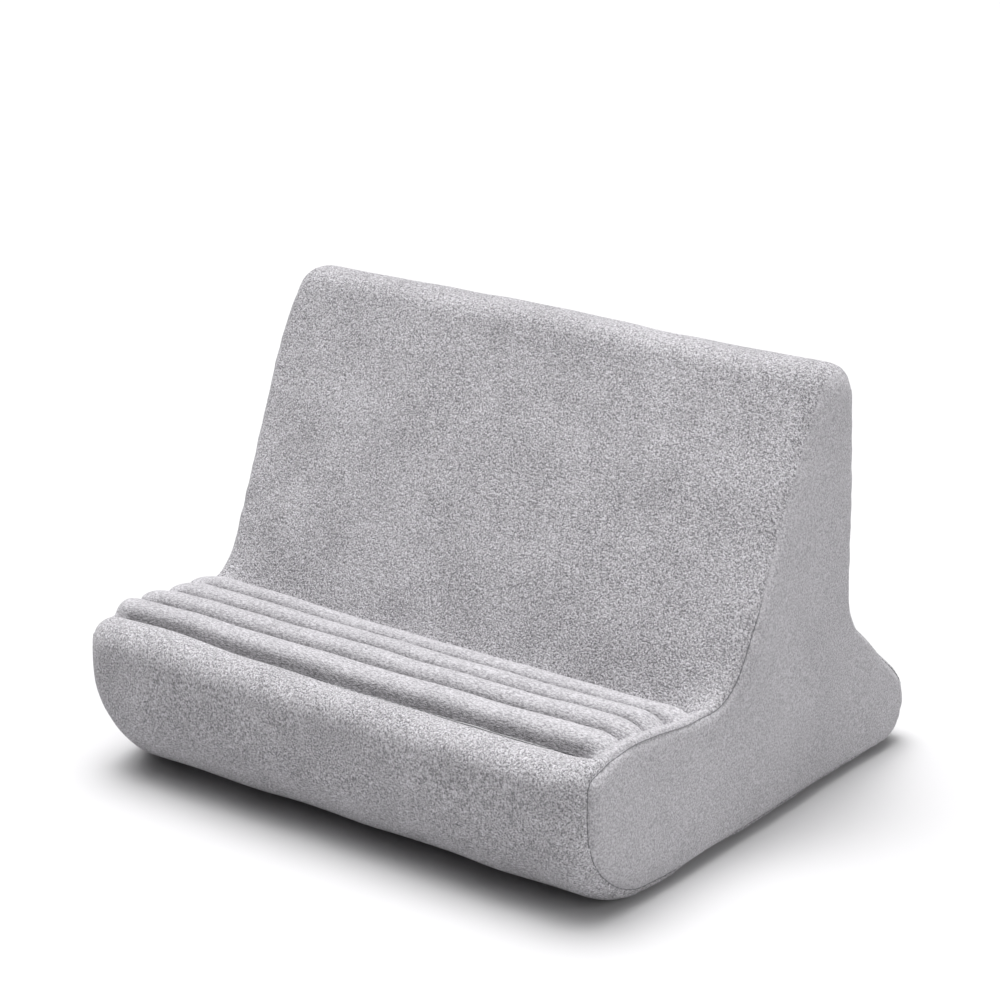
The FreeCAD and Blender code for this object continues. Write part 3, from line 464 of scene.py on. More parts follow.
def cover_surface(u, across, sink=0.0, ribs=True):
    """Points of the cover and the way that it faces there.

    u is the distance round the section. across runs from one side seam to the other, from
    -SEAM_X to SEAM_X, and is stretched to where the seams really lie.
    """
    u, across = np.broadcast_arrays(np.asarray(u, float), np.asarray(across, float))
    side = np.where(across < 0, -1, 1)
    half, edge, inset = end_shape(u, side)
    place, out = section_at(u, across, ribs)
    stretch = smoothstep(np.abs(across), 30.0, SEAM_X - 12.0)
    x = across + side * (half - inset - SEAM_X) * stretch
    past = np.clip(np.abs(x) - (half - edge), 0, edge * 0.999)
    drop = edge - np.sqrt(edge ** 2 - past ** 2)
    tilt = past / edge
    level = np.sqrt(1 - tilt ** 2)
    facing = np.stack([side * tilt, out[..., 0] * level, out[..., 1] * level], axis=-1)
    points = np.stack([x, place[..., 0], place[..., 1]], axis=-1)
    points[..., 1:] -= out * drop[..., None]
    points = points + facing * (unevenness(points, u, across) - sink)[..., None]
    points[..., 2] -= top_droop(points)
    return points, facing


def seam_draw(distance, deep=SEAM_DIP, reach=1.3):
    """How far the cloth is drawn in at a distance from a seam."""
    return deep * np.exp(-(distance / reach) ** 1.6)


def side_seam_depth(u):
    """The side seams are plain to see low down, and the pile hides them higher up."""
    height = on_loop(SHARP_LINE, u)[..., 1]
    return SEAM_DIP * (1 - 0.72 * smoothstep(height, 95.0, 135.0))


# ----- Making meshes and pieces -----
def add_piece(name, node, material, points, faces):
    """A piece of the stand in place of a CAD node. It is flat where it rests on the floor."""
    points = np.array(points, float)
    points[:, 2] = np.maximum(points[:, 2], 0.0)
    mesh = bpy.data.meshes.new(name)
    mesh.from_pydata((points * MM).tolist(), [], faces)
    mesh.validate()
    mesh.shade_smooth()
    mesh.set_sharp_from_angle(angle=SHARP_EDGE)
    mesh.materials.append(material)
    piece = bpy.data.objects.new(name, mesh)
    bpy.context.scene.collection.objects.link(piece)
    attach(piece, "stand")
    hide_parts(node)
    return piece


def grid_faces(rows, columns, start=0, flip=False, closed=False):
    """Quads over a grid of points numbered row by row."""
    r = np.arange(rows if closed else rows - 1)[:, None]
    c = np.arange(columns - 1)[None, :]
    nxt = (r + 1) % rows
    a, b = r * columns + c, nxt * columns + c
    quads = np.stack([a, b, b + 1, a + 1], axis=-1).reshape(-1, 4) + start
    return (quads[:, ::-1] if flip else quads).tolist()


def rim_faces(loop, shift):
    """Quads between a closed loop of points and the same loop further on in the list."""
    ahead = np.roll(loop, -1)
    return np.stack([loop, loop + shift, ahead + shift, ahead], axis=-1).tolist()


def shell_from_grid(outer, inner):
    """A closed thin shell between two grids of points."""
    rows, columns = outer.shape[:2]
    count = rows * columns
    points = np.concatenate([outer.reshape(-1, 3), inner.reshape(-1, 3)])
    number = np.arange(count).reshape(rows, columns)
    loop = np.concatenate([number[0, :-1], number[:-1, -1], number[-1, :0:-1], number[:0:-1, 0]])
    faces = grid_faces(rows, columns) + grid_faces(rows, columns, count, flip=True)
    return points, faces + rim_faces(loop, count)


def side_columns():
    """Places across the stand, closer together towards the side seams."""
    fine = np.arange(0, 9, 0.75)
    middle = np.arange(9, 30, 1.4)
    inward = np.concatenate([fine, middle])
    edge = SEAM_X - inward
    span = np.linspace(-edge[-1], edge[-1], 86)[1:-1]
    return np.concatenate([-edge, span, edge[::-1]])


COLUMNS = side_columns()


def rows_between(first, last):
    """Distances along the loop from first to last, closer together where the shape is fine."""
    made = [first]
    while made[-1] < last - 0.01:
        here = made[-1]
        near_end = min(here - first, last - here)
        ledge = -around(here, AT_GROOVE) > -9 and around(here, AT_CREASE) > -6
        pace = 0.6 if ledge else 2.3
        if near_end < 4:
            pace = min(pace, 0.8)
        if abs(around(here, AT_CREASE)) < 14:
            pace = min(pace, 1.1)
        made.append(here + pace)
    if len(made) > 2 and last - made[-2] < 0.4:
        made.pop()
    made[-1] = last
    return np.array(made)


def section_panel(name, first, last, node, material, windowed=0.0, depth=SEAM_DIP):
    """A panel of the cover that runs from one station of the section to another."""
    if last < first:
        last += GIRTH
    u = rows_between(first, last)[:, None]
    x = COLUMNS[None, :]
    ends = np.minimum(u - first, last - u)
    at_side = seam_draw(SEAM_X - np.abs(x), side_seam_depth(u))
    draw = np.maximum(seam_draw(ends, depth), at_side)
    if windowed:
        slide = window_shift(u, x, windowed)
        u = u + slide
    outer, facing = cover_surface(u, x, draw)
    inner = outer - facing * COVER
    points, faces = shell_from_grid(outer, inner)
    piece = add_piece(name, node, material, points, faces)


def window_shift(u, x, way):
    """Moves a panel's edge away from the middle of the zip, to leave its window open."""
    opening = ZIP_WINDOW_Z * (1 - smoothstep(np.abs(x), ZIP_WINDOW_X - 1.0, ZIP_WINDOW_X + 1.5))
    away = np.abs(around(u, AT_ZIP))
    return way * opening * np.clip(1 - away / 15.0, 0, 1)


# ----- Side panels -----
def side_outline(side):
    """The outline of the stand's end, its stations and the section's normals there."""
    u = np.arange(0, GIRTH, 1.3)
    place, out = section_at(u, np.full(len(u), SEAM_X * side))
    return u, place, out


def nearest_on_outline(points, outline):
    """Distance from each point to the outline, and which of its points is nearest."""
    near = np.empty(len(points))
    which = np.empty(len(points), int)
    for k in range(0, len(points), BATCH):
        gaps = np.linalg.norm(points[k:k + BATCH, None, :] - outline[None, :, :], axis=2)
        which[k:k + BATCH] = gaps.argmin(axis=1)
        near[k:k + BATCH] = gaps.min(axis=1)
    return near, which


def blend_from_outline(points, outline, values):
    """A value at each point, blended from the outline's, the nearer the stronger."""
    made = np.empty(len(points))
    for k in range(0, len(points), BATCH):
        gaps = ((points[k:k + BATCH, None, :] - outline[None, :, :]) ** 2).sum(axis=2)
        weights = (gaps + 0.5) ** -1.6
        made[k:k + BATCH] = weights @ values / weights.sum(axis=1)
    return made


def inside(points, polygon):
    """Which points lie inside the polygon."""
    y, z = points[:, 0], points[:, 1]
    within = np.zeros(len(points), bool)
    for a, b in zip(polygon, np.roll(polygon, -1, axis=0)):
        crosses = (a[1] > z) != (b[1] > z)
        rise = b[1] - a[1] if b[1] != a[1] else 1e-9
        within ^= crosses & (y < (b[0] - a[0]) * (z - a[1]) / rise + a[0])
    return within


def side_depth(side_radius, distance):
    """How far a side panel stands in from the widest plane, and its tilt, near its edge."""
    short = np.clip(1 - distance / side_radius, 0, 1)
    return side_radius * (1 - np.sqrt(1 - short ** 2)), short


def even_grid(low, high, spacing):
    """Points of a triangular grid between two corners."""
    rows = []
    for number, z in enumerate(np.arange(low[1], high[1], spacing * 0.87)):
        y = np.arange(low[0] + (number % 2) * spacing / 2, high[0], spacing)
        rows.append(np.stack([y, np.full(len(y), z)], axis=1))
    return np.concatenate(rows)


def side_panel(name, side, node, material):
    """A flat end panel: level in the middle, rounded over towards its seam."""
    u, outline, out = side_outline(side)
    half, edge, inset = end_shape(u, np.full(len(u), side))
    rim = edge - np.sqrt(edge ** 2 - (edge - inset) ** 2)
    deep = side_seam_depth(u)
    rim_points, _ = cover_surface(u, np.full(len(u), SEAM_X * side), deep)
    grid = even_grid(outline.min(axis=0), outline.max(axis=0), SIDE_MESH)
    grid = grid[inside(grid, outline)]
    near, which = nearest_on_outline(grid, outline)
    grid = grid[near > rim[which] + 2.6]
    rings = []
    for extra in (0.7, 1.6):
        ring = outline - out * (rim + extra)[:, None]
        rings.append(ring[nearest_on_outline(ring, outline)[0] > rim + extra * 0.8])
    rim_flat = outline - out * rim[:, None]
    count = len(u)
    flat = np.concatenate([rim_flat, *rings, grid])
    result = delaunay_2d_cdt([Vector(p) for p in flat], [], [list(range(count))], 1, 1e-6)
    spots = np.array([tuple(v) for v in result[0]])
    triangles = [list(f) for f in result[2]]
    near, which = nearest_on_outline(spots, outline)
    deeper = smoothstep(near, 2.0, 8.0)
    rounding = edge[which] * (1 - deeper) + blend_from_outline(spots, outline, edge) * deeper
    depth, tilt = side_depth(rounding, near)
    stand_out = blend_from_outline(spots, outline, half)
    points = np.stack([(stand_out - depth) * side, spots[:, 0], spots[:, 1]], axis=1)
    level = np.sqrt(1 - tilt ** 2)
    facing = np.stack([side * level, out[which, 0] * tilt, out[which, 1] * tilt], axis=1)
    inward = np.clip(near - rim[which], 0, None)
    points += facing * side_swell(spots, u[which], inward, deep[which])[:, None]
    points[:, 2] -= top_droop(points)
    points[:count] = rim_points
    finish_side(name, side, node, material, points, triangles, count)


def side_swell(spots, u, inward, deep):
    """How far a side panel stands proud of the level, at distances inward from its seam."""
    swell = 0.8 * (1 - np.exp(-(inward / 30.0) ** 2))
    slow = 0.45 * ripples(spots, 75.0, 21) + 0.12 * ripples(spots, 30.0, 22)
    place = np.stack([u, inward / 2.5], axis=1)
    fold = ripples(place, 9.0, 13) + 0.5 * ripples(place, 5.0, 14)
    return (swell + slow * np.clip(inward / 8.0, 0, 1) - seam_draw(inward, deep)
            + PUCKER * np.exp(-inward / 6.0) * fold)


def finish_side(name, side, node, material, points, triangles, count):
    """Closes a side panel into a thin shell and adds it."""
    total = len(points)
    inner = points - np.array([side * COVER, 0, 0])
    faces = [f if side > 0 else f[::-1] for f in triangles]
    back = [[k + total for k in f[::-1]] for f in faces]
    loop = np.arange(count)
    rim = rim_faces(loop if side < 0 else loop[::-1], total)
    rim = [f[::-1] for f in rim]
    piece = add_piece(name, node, material, np.concatenate([points, inner]),
                      faces + back + rim)
    side_area() * MM * MM


def side_area():
    """Area of the section, which a side panel is cut to."""
    y, z = LINE[:, 0], LINE[:, 1]
    return abs(float((y * np.roll(z, -1) - z * np.roll(y, -1)).sum())) / 2


# ----- Threads and rods -----
def ring_faces(rings, sides, closed=False):
    """Quads between rings of points, and a face over each end of an open run of rings."""
    r = np.arange(rings if closed else rings - 1)[:, None]
    c = np.arange(sides)[None, :]
    ahead, beside = (r + 1) % rings, (c + 1) % sides
    faces = np.stack([r * sides + c, r * sides + beside, ahead * sides + beside,
                      ahead * sides + c], axis=-1).reshape(-1, 4).tolist()
    if not closed:
        faces.append(list(range(sides))[::-1])
        faces.append(list(range((rings - 1) * sides, rings * sides)))
    return faces


def tube(line, radius, sides=8, closed=False, up=(0, 0, 1), twist=0.0):
    """Rings of points round a line, which may twist, and the faces between them."""
    line = np.asarray(line, float)
    if closed:
        along = np.roll(line, -1, axis=0) - np.roll(line, 1, axis=0)
    else:
        along = np.gradient(line, axis=0)
    along /= np.linalg.norm(along, axis=1)[:, None]
    up = np.broadcast_to(np.asarray(up, float), line.shape)
    right = np.cross(along, up)
    right /= np.linalg.norm(right, axis=1)[:, None]
    over = np.cross(right, along)
    walk = np.concatenate([[0], np.cumsum(np.linalg.norm(np.diff(line, axis=0), axis=1))])
    radius = np.broadcast_to(np.asarray(radius, float), (len(line),))
    angle = np.arange(sides) / sides * 2 * math.pi
    plies = 1 + (0.22 * np.cos(2 * angle[None, :] + twist * walk[:, None]) if twist else 0)
    reach = radius[:, None] * plies
    rings = (line[:, None, :] + right[:, None, :] * (reach * np.cos(angle))[..., None]
             + over[:, None, :] * (reach * np.sin(angle))[..., None])
    return rings.reshape(-1, 3), ring_faces(len(line), sides, closed)


def join(parts):
    """Several (points, faces) as one."""
    points, faces, start = [], [], 0
    for spots, quads in parts:
        points.append(spots)
        faces += [[k + start for k in quad] for quad in quads]
        start += len(spots)
    return np.concatenate(points), faces


def stitch(middle, along, up, length=2.7, thick=0.34):
    """One stitch: a short thread that comes up out of the cloth and goes back in."""
    along, up = np.asarray(along, float), np.asarray(up, float)
    share = np.linspace(-1, 1, 9)
    rise = 0.42 * (1 - np.abs(share) ** 2.6) - 0.25
    line = middle + along * (share * length / 2)[:, None] + up * rise[:, None]
    radius = thick * np.sqrt(np.clip(1 - np.abs(share) ** 6, 0.15, 1))
    return tube(line, radius, sides=8, up=up, twist=4.5)


def side_seam(name, side, node, material):
    """The thread down the side seam, sunk between the two panels."""
    u = np.arange(0, GIRTH, 0.55)
    line, facing = cover_surface(u, np.full(len(u), SEAM_X * side), side_seam_depth(u))
    beat = 0.5 + 0.5 * np.cos(2 * math.pi * u / SEAM_PITCH)
    hidden = 0.7 * smoothstep(line[:, 2], 92.0, 125.0)
    line = line + facing * (0.16 * beat - 0.12 - hidden)[:, None]
    points, faces = tube(line, 0.20 + 0.07 * beat, sides=8, closed=True, up=facing, twist=3.5)
    add_piece(name, node, material, points, faces)


def stitch_places(half):
    """Where the stitches of a row of that half length lie across the stand."""
    count = int(2 * half / STITCH_PITCH) + 1
    return (np.arange(count) - (count - 1) / 2) * STITCH_PITCH


def channel_stitches(material):
    """The rows of stitches in the grooves between the ribs."""
    rows = []
    up = np.array([0.0, LEDGE_TILT, 1.0]) / math.hypot(LEDGE_TILT, 1.0)
    for centre in RIB_CENTRES:
        y = centre - RIB_PITCH / 2
        for x in stitch_places(CHANNEL_HALF):
            spot, _ = cover_surface(station(y, ledge_floor(y)), x)
            rows.append(stitch(spot + up * 0.1, (1, 0, 0), up))
    points, faces = join(rows)
    add_piece("channel_stitches", "channel_stitching", material, points, faces)


# ----- Inside: foam, rib rolls and lining -----
def foam_block(material):
    """The foam inside the cover, relieved behind the zip, with its ends closed."""
    u = np.arange(0, GIRTH, 4.0)[:, None]
    across = np.linspace(-SEAM_X, SEAM_X, 58)[None, :]
    relief = smoothstep(-np.abs(around(u, AT_ZIP)), -24.0, -17.0) * (np.abs(across) < 124)
    points, _ = cover_surface(u, across, FOAM_UNDER + ZIP_RELIEF * relief, ribs=False)
    rows, columns = points.shape[:2]
    faces = grid_faces(rows, columns, closed=True)
    faces.append((np.arange(rows) * columns)[::-1].tolist())
    faces.append((np.arange(rows) * columns + columns - 1).tolist())
    piece = add_piece("foam_block", "foam_core", material, points.reshape(-1, 3), faces)


def rib_roll(number, centre, material):
    """A soft rod in one of the ledge's channels, flat underneath."""
    straight, end = CHANNEL_HALF - 2.0, 7.6
    share = np.sin(np.linspace(0, math.pi / 2, 8))
    middle = np.linspace(-straight, straight, 60)[1:-1]
    x = np.concatenate([-straight - end * share[::-1], middle, straight + end * share])
    past = np.clip(np.abs(x) - straight, 0, None) / end
    size = np.sqrt(np.clip(1 - past ** 2, 0.02, 1)) * (1 + 0.02 * np.sin(x * 0.21 + number))
    angle = np.arange(24) / 24 * 2 * math.pi
    wide = ROLL_HALF * np.cos(angle)
    tall = np.where(np.sin(angle) > 0, ROLL_HIGH, ROLL_LOW) * np.sin(angle) - LEDGE_TILT * wide
    y = centre + wide[None, :] * size[:, None]
    z = ledge_floor(centre) + ROLL_UP + tall[None, :] * size[:, None]
    rings = np.stack([np.broadcast_to(x[:, None], y.shape), y, z], axis=-1)
    points, faces = rings.reshape(-1, 3), ring_faces(len(x), len(angle))
    name, node = f"rib_roll_{number}", f"rib_filler_{number}"
    piece = add_piece(name, node, material, points, faces)


def ledge_lining(material):
    """The lining cloth under the ribs."""
    low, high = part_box("ledge_backing")
    y = np.linspace(low.y / MM + 1.5, high.y / MM - 1.5, 24)[:, None]
    x = np.linspace(-LINING_HALF, LINING_HALF, 80)[None, :]
    y, x = np.broadcast_arrays(y, x)
    z = ledge_floor(y) - LINING_UNDER + 0.15 * ripples(np.stack([x, y], axis=-1), 22.0, 31)
    upper = np.stack([x, y, z], axis=-1)[::-1]
    lower = upper - np.array([0, 0, LINING])
    points, faces = shell_from_grid(upper, lower)
    piece = add_piece("ledge_lining", "ledge_backing", material, points, faces)


# ----- The zip and the label -----
def zip_tape(name, node, way, material):
    """One woven tape of the zip, with a thick corded edge beside the coil."""
    low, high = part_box(node)
    x = np.linspace(low.x, high.x, 90)[:, None] / MM
    across = np.linspace(0, 1, 16)[None, :]
    x, across = np.broadcast_arrays(x, across)
    near, far = ZIP_Z + way * ZIP_SLIT, ZIP_Z + way * (ZIP_SLIT + TAPE_WIDE)
    z = near + (far - near) * across
    y_face = high.y / MM + 0.06 * ripples(np.stack([x, z], axis=-1), 18.0, 41)
    cord = 0.12 * np.exp(-((across - 0.28) / 0.03) ** 2) - 0.2 * (across > 0.97)
    face = np.stack([x, y_face + cord, z], axis=-1)
    back = np.stack([x, y_face * 0 + low.y / MM, z], axis=-1)
    if way < 0:
        face, back = face[:, ::-1], back[:, ::-1]
    points, faces = shell_from_grid(face, back)
    piece = add_piece(name, node, material, points, faces)


def zip_coil(name, node, way, material):
    """One coil of the zip: a flattened spiral of thick nylon thread."""
    low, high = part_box(node)
    middle, half = (low + high) / 2 / MM, (high - low) / 2 / MM
    turns = int(2 * half.x / COIL_PITCH) - 1
    t = np.linspace(0, turns * 2 * math.pi, turns * 14)
    start = middle.x - turns * COIL_PITCH / 2 + (COIL_PITCH / 4 if way > 0 else 0.0)
    x = start + t / (2 * math.pi) * COIL_PITCH
    y = middle.y + (half.y - COIL_WIRE) * squared_off(np.sin(t))
    z = middle.z - way * (half.z - COIL_WIRE) * squared_off(np.cos(t))
    points, faces = tube(np.stack([x, y, z], axis=1), COIL_WIRE, sides=6, up=(1, 0, 0.01))
    add_piece(name, node, material, points, faces)


def squared_off(wave):
    """A sine with broader ends, for a coil that is flattened."""
    return np.sign(wave) * np.abs(wave) ** 0.8


def zip_stitches(material):
    """The two rows of stitches that hold the zip to the panels' edges."""
    rows = []
    for z in (ZIP_Z - ZIP_ROW, ZIP_Z + ZIP_ROW):
        for x in stitch_places(ZIP_WINDOW_X):
            spot, _ = cover_surface(station(REAR_Y, z), x)
            spot[2] = z
            rows.append(stitch(spot, (1, 0, 0), (0, 1, 0)))
    points, faces = join(rows)
    add_piece("zip_seam_stitches", "zip_stitching", material, points, faces)


def care_label(material):
    """A blank ribbon label, folded double, sewn in below the zip."""
    low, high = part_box("care_label")
    left, right = low.x / MM, high.x / MM
    top, bottom = high.z / MM, low.z / MM
    drop = top - bottom
    share = np.linspace(0, 1, 30)
    u_start = station(REAR_Y, top)
    rows_out, rows_in = [], []
    x = np.linspace(left, right, 12)
    for t in share:
        u = u_start - t * drop * 1.02
        spot, facing = cover_surface(np.full(len(x), u), x)
        curl = 0.5 + 1.2 * t ** 2 + 0.15 * np.sin(x * 0.35 + 3 * t)
        rows_out.append(spot + facing * (curl + LABEL)[:, None])
        rows_in.append(spot + facing * curl[:, None])
    outer = np.array(rows_out)[::-1]
    inner = np.array(rows_in)[::-1]
    points, faces = shell_from_grid(outer, inner)
    piece = add_piece("blank_label", "care_label", material, points, faces)


# ----- Materials -----
class Paint:
    """A node material that is put together step by step."""

    def __init__(self, name, color, roughness):
        self.material = bpy.data.materials.new(name)
        self.material.use_nodes = True
        self.tree = self.material.node_tree
        self.shader = self.tree.nodes["Principled BSDF"]
        self.shader.inputs["Base Color"].default_value = (*color, 1)
        self.shader.inputs["Roughness"].default_value = roughness
        self.place = self.add("ShaderNodeTexCoord").outputs["Object"]

    def add(self, kind, **settings):
        """A new node with those settings."""
        node = self.tree.nodes.new(kind)
        for key, value in settings.items():
            setattr(node, key, value)
        return node

    def link(self, start, end):
        self.tree.links.new(start, end)

    def stretched(self, scale):
        """The place on the piece, scaled along x, y and z."""
        mapping = self.add("ShaderNodeMapping")
        mapping.inputs["Scale"].default_value = scale
        self.link(self.place, mapping.inputs["Vector"])
        return mapping.outputs["Vector"]

    def axes(self):
        """The place on the piece, as X, Y and Z."""
        split = self.add("ShaderNodeSeparateXYZ")
        self.link(self.place, split.inputs["Vector"])
        return split.outputs

    def noise(self, size, detail=2.0, rough=0.5, vector=None):
        """Noise whose features are about size millimetres across."""
        node = self.add("ShaderNodeTexNoise")
        node.inputs["Scale"].default_value = 1 / (size * MM)
        node.inputs["Detail"].default_value = detail
        node.inputs["Roughness"].default_value = rough
        self.link(vector or self.place, node.inputs["Vector"])
        return node.outputs["Fac"]

    def cells(self, size):
        """Round cells about size millimetres across."""
        node = self.add("ShaderNodeTexVoronoi")
        node.inputs["Scale"].default_value = 1 / (size * MM)
        self.link(self.place, node.inputs["Vector"])
        return node.outputs["Distance"]

    def wave(self, size, direction):
        """Even bands across that direction, size millimetres apart."""
        node = self.add("ShaderNodeTexWave", bands_direction=direction)
        node.inputs["Scale"].default_value = WAVE_SCALE / (size * MM)
        self.link(self.place, node.inputs["Vector"])
        return node.outputs["Fac"]

    def math(self, operation, a, b=0.0):
        """One step of arithmetic on patterns or numbers."""
        node = self.add("ShaderNodeMath", operation=operation)
        for socket, value in zip(node.inputs, (a, b)):
            if isinstance(value, (int, float)):
                socket.default_value = value
            else:
                self.link(value, socket)
        return node.outputs[0]

    def sum(self, first, share, second, other_share):
        """Two patterns added up, each by its share."""
        return self.math("ADD", self.math("MULTIPLY", first, share),
                         self.math("MULTIPLY", second, other_share))

    def ramp(self, value, stops):
        """A colour read from stops of (value, colour)."""
        node = self.add("ShaderNodeValToRGB")
        self.link(value, node.inputs["Fac"])
        band = node.color_ramp
        while len(band.elements) < len(stops):
            band.elements.new(0.5)
        for element, (place, color) in zip(band.elements, stops):
            element.position = place
            element.color = (*color, 1)
        return node.outputs["Color"]

    def between(self, value, low, dark, high, color):
        """The colour where the pattern is high, and a darker share of it where it is low."""
        return self.ramp(value, [(low, tuple(dark * c for c in color)), (high, color)])

    def multiplied(self, first, second):
        """Two colours multiplied. The Mix node's colour sockets are 6 and 7, and 2 outward."""
        node = self.add("ShaderNodeMix", data_type="RGBA", blend_type="MULTIPLY")
        node.inputs["Factor"].default_value = 1.0
        self.link(first, node.inputs[6])
        self.link(second, node.inputs[7])
        return node.outputs[2]

    def bump(self, layers):
        """Layers of (height, distance in mm, strength), the first underneath."""
        below = None
        for height, distance, strength in layers:
            node = self.add("ShaderNodeBump")
            node.inputs["Strength"].default_value = strength
            node.inputs["Distance"].default_value = distance * MM
            self.link(height, node.inputs["Height"])
            if below is not None:
                self.link(below, node.inputs["Normal"])
            below = node.outputs["Normal"]
        self.link(below, self.shader.inputs["Normal"])

    def sheen(self, weight, roughness, tint=(1.0, 1.0, 1.0)):
        """The soft glow of a pile that is seen from the side."""
        self.shader.inputs["Sheen Weight"].default_value = weight
        self.shader.inputs["Sheen Roughness"].default_value = roughness
        self.shader.inputs["Sheen Tint"].default_value = (*tint, 1)

    def finished(self, look, pattern, smooth, rough, layers=()):
        """The material, with its colour, a roughness that follows a pattern, and its bumps."""
        self.link(look, self.shader.inputs["Base Color"])
        node = self.add("ShaderNodeMapRange")
        self.link(pattern, node.inputs["Value"])
        node.inputs["To Min"].default_value = smooth
        node.inputs["To Max"].default_value = rough
        self.link(node.outputs["Result"], self.shader.inputs["Roughness"])
        if layers:
            self.bump(layers)
        return self.material


def grey(level):
    """The cloth's grey leans a little to lilac."""
    return (level * 1.02, level, level * 1.045)


def plush(name, level, mottle_and_shade=1.0, nap=1.0, grain=(1.0, 1.0, 1.0), shaded_ribs=False):
    """Short-pile plush: crinkled tufts, faint brush marks, and dark gaps between tufts that are partly
    painted shade.
    """
    paint = Paint(name, grey(level), 1.0)
    along = paint.stretched(grain)
    tufts = paint.noise(TUFTS, 2.0, 0.6, along)
    pile = paint.noise(PILE, 1.0, 0.6, along)
    brushed = paint.noise(30.0, 3.0, 0.55)
    mixed = paint.math("ADD", paint.sum(tufts, 0.62, pile, 0.38), paint.math("MULTIPLY", brushed, 0.10))
    middle, reach = 0.55, 0.13
    # The spread from dark gaps to light tips is partly the pile's own mottling and partly painted shade
    # and light.
    dark, light = 1 - 0.52 * mottle_and_shade, 1 + 0.55 * mottle_and_shade
    look = paint.ramp(mixed, [(middle - reach, grey(level * dark)), (middle, grey(level)),
                              (middle + reach, grey(min(level * light, 0.95)))])
    # Painted shade in the channels and on the fronts of the ribs.
    if shaded_ribs:
        look = paint.multiplied(look, painted_rib_shade(paint))
    paint.sheen(0.15, 0.45, (1.0, 0.99, 1.0))
    paint.shader.inputs["Specular IOR Level"].default_value = 0.1
    return paint.finished(look, tufts, 0.86, 1.0, [(tufts, 1.0, 0.8 * nap), (pile, 0.5, 0.8 * nap)])


def painted_rib_shade(paint):
    """Painted shade: dark in each channel and up the front of each rib, fading out near the side seams.
    """
    axes = paint.axes()
    channel = (RIB_CENTRES[0] - RIB_PITCH / 2) * MM
    along = paint.math("SUBTRACT", axes["Y"], channel)
    share = paint.math("FRACT", paint.math("DIVIDE", along, RIB_PITCH * MM))
    outward = paint.math("ABSOLUTE", axes["X"])
    beyond = paint.math("DIVIDE", paint.math("SUBTRACT", outward, SHADE_HALF * MM), SHADE_FADE * MM)
    fade = paint.math("MINIMUM", paint.math("MAXIMUM", beyond, 0.0), 1.0)
    off = paint.math("MULTIPLY", fade, paint.math("SUBTRACT", CREST, share))
    shades = [(0.0, 0.60), (0.10, 0.72), (0.24, 0.90), (0.40, 1.0), (0.85, 1.0), (1.0, 0.62)]
    return paint.ramp(paint.math("ADD", share, off), [(spot, (dim, dim, dim)) for spot, dim in shades])


def foam(name, color):
    """Open-cell foam, pitted with small holes."""
    paint = Paint(name, color, 0.95)
    holes = paint.cells(1.3)
    coarse = paint.noise(14.0, 3.0)
    look = paint.between(holes, 0.05, 0.55, 0.35, color)
    return paint.finished(look, coarse, 0.85, 1.0, [(holes, 0.7, 0.6)])


def woven(name, color, pitch):
    """Plain woven cloth: warp and weft cross over and under."""
    paint = Paint(name, color, 0.8)
    weave = paint.math("MULTIPLY", paint.wave(pitch, "X"), paint.wave(pitch, "Y"))
    slub = paint.noise(5.0, 2.0)
    look = paint.between(paint.sum(weave, 0.6, slub, 0.4), 0.1, 0.72, 0.7, color)
    paint.sheen(0.2, 0.5)
    return paint.finished(look, slub, 0.7, 0.9, [(weave, 0.25, 0.6)])


def twill(name, color):
    """Herringbone tape: diagonal ribs that change direction."""
    paint = Paint(name, color, 0.75)
    axes = paint.axes()
    zig = paint.math("PINGPONG", axes["Z"], 2.4 * MM)
    slant = paint.math("ADD", axes["X"], zig)
    fold = paint.math("SINE", paint.math("MULTIPLY", slant, 2 * math.pi / (0.85 * MM)))
    fuzz = paint.noise(2.0, 3.0)
    mixed = paint.math("ADD", paint.math("MULTIPLY", fold, 0.22), fuzz)
    paint.sheen(0.15, 0.5)
    look = paint.between(mixed, 0.25, 0.68, 0.75, color)
    return paint.finished(look, fuzz, 0.65, 0.85, [(fold, 0.12, 0.7), (fuzz, 0.1, 0.3)])


def nylon(name, color):
    """Smooth nylon with a faint gloss."""
    paint = Paint(name, color, 0.38)
    fine = paint.noise(0.6, 2.0)
    paint.shader.inputs["Coat Weight"].default_value = 0.15
    look = paint.between(paint.noise(7.0, 2.0), 0.3, 0.88, 0.7, color)
    return paint.finished(look, fine, 0.30, 0.5, [(fine, 0.05, 0.4)])


def thread(name, color):
    """Spun thread: fibres along it, and duller lengths."""
    paint = Paint(name, color, 0.6)
    plies = paint.noise(0.25, 2.0, 0.6, paint.stretched((0.3, 1.0, 1.0)))
    worn = paint.noise(9.0, 2.0)
    look = paint.between(paint.sum(plies, 0.6, worn, 0.4), 0.3, 0.7, 0.65, color)
    paint.sheen(0.3, 0.4)
    return paint.finished(look, plies, 0.5, 0.75, [(plies, 0.08, 0.5)])


def satin_metal(name, color):
    """Plated die-cast metal: fine tumbling marks and duller, worn patches."""
    paint = Paint(name, color, 0.3)
    paint.shader.inputs["Metallic"].default_value = 1.0
    fine = paint.noise(0.35, 3.0, 0.65, paint.stretched((0.25, 1.0, 1.0)))
    patches = paint.noise(3.5, 3.0, 0.6)
    look = paint.between(patches, 0.3, 0.80, 0.7, color)
    return paint.finished(look, patches, 0.24, 0.44, [(fine, 0.03, 0.35)])


def ribbon(name, color):
    """A smooth, finely woven label."""
    paint = Paint(name, color, 0.42)
    weave = paint.math("MULTIPLY", paint.wave(0.3, "X"), paint.wave(0.36, "Z"))
    look = paint.between(paint.noise(12.0, 2.0), 0.3, 0.93, 0.7, color)
    return paint.finished(look, weave, 0.35, 0.5, [(weave, 0.06, 0.5)])


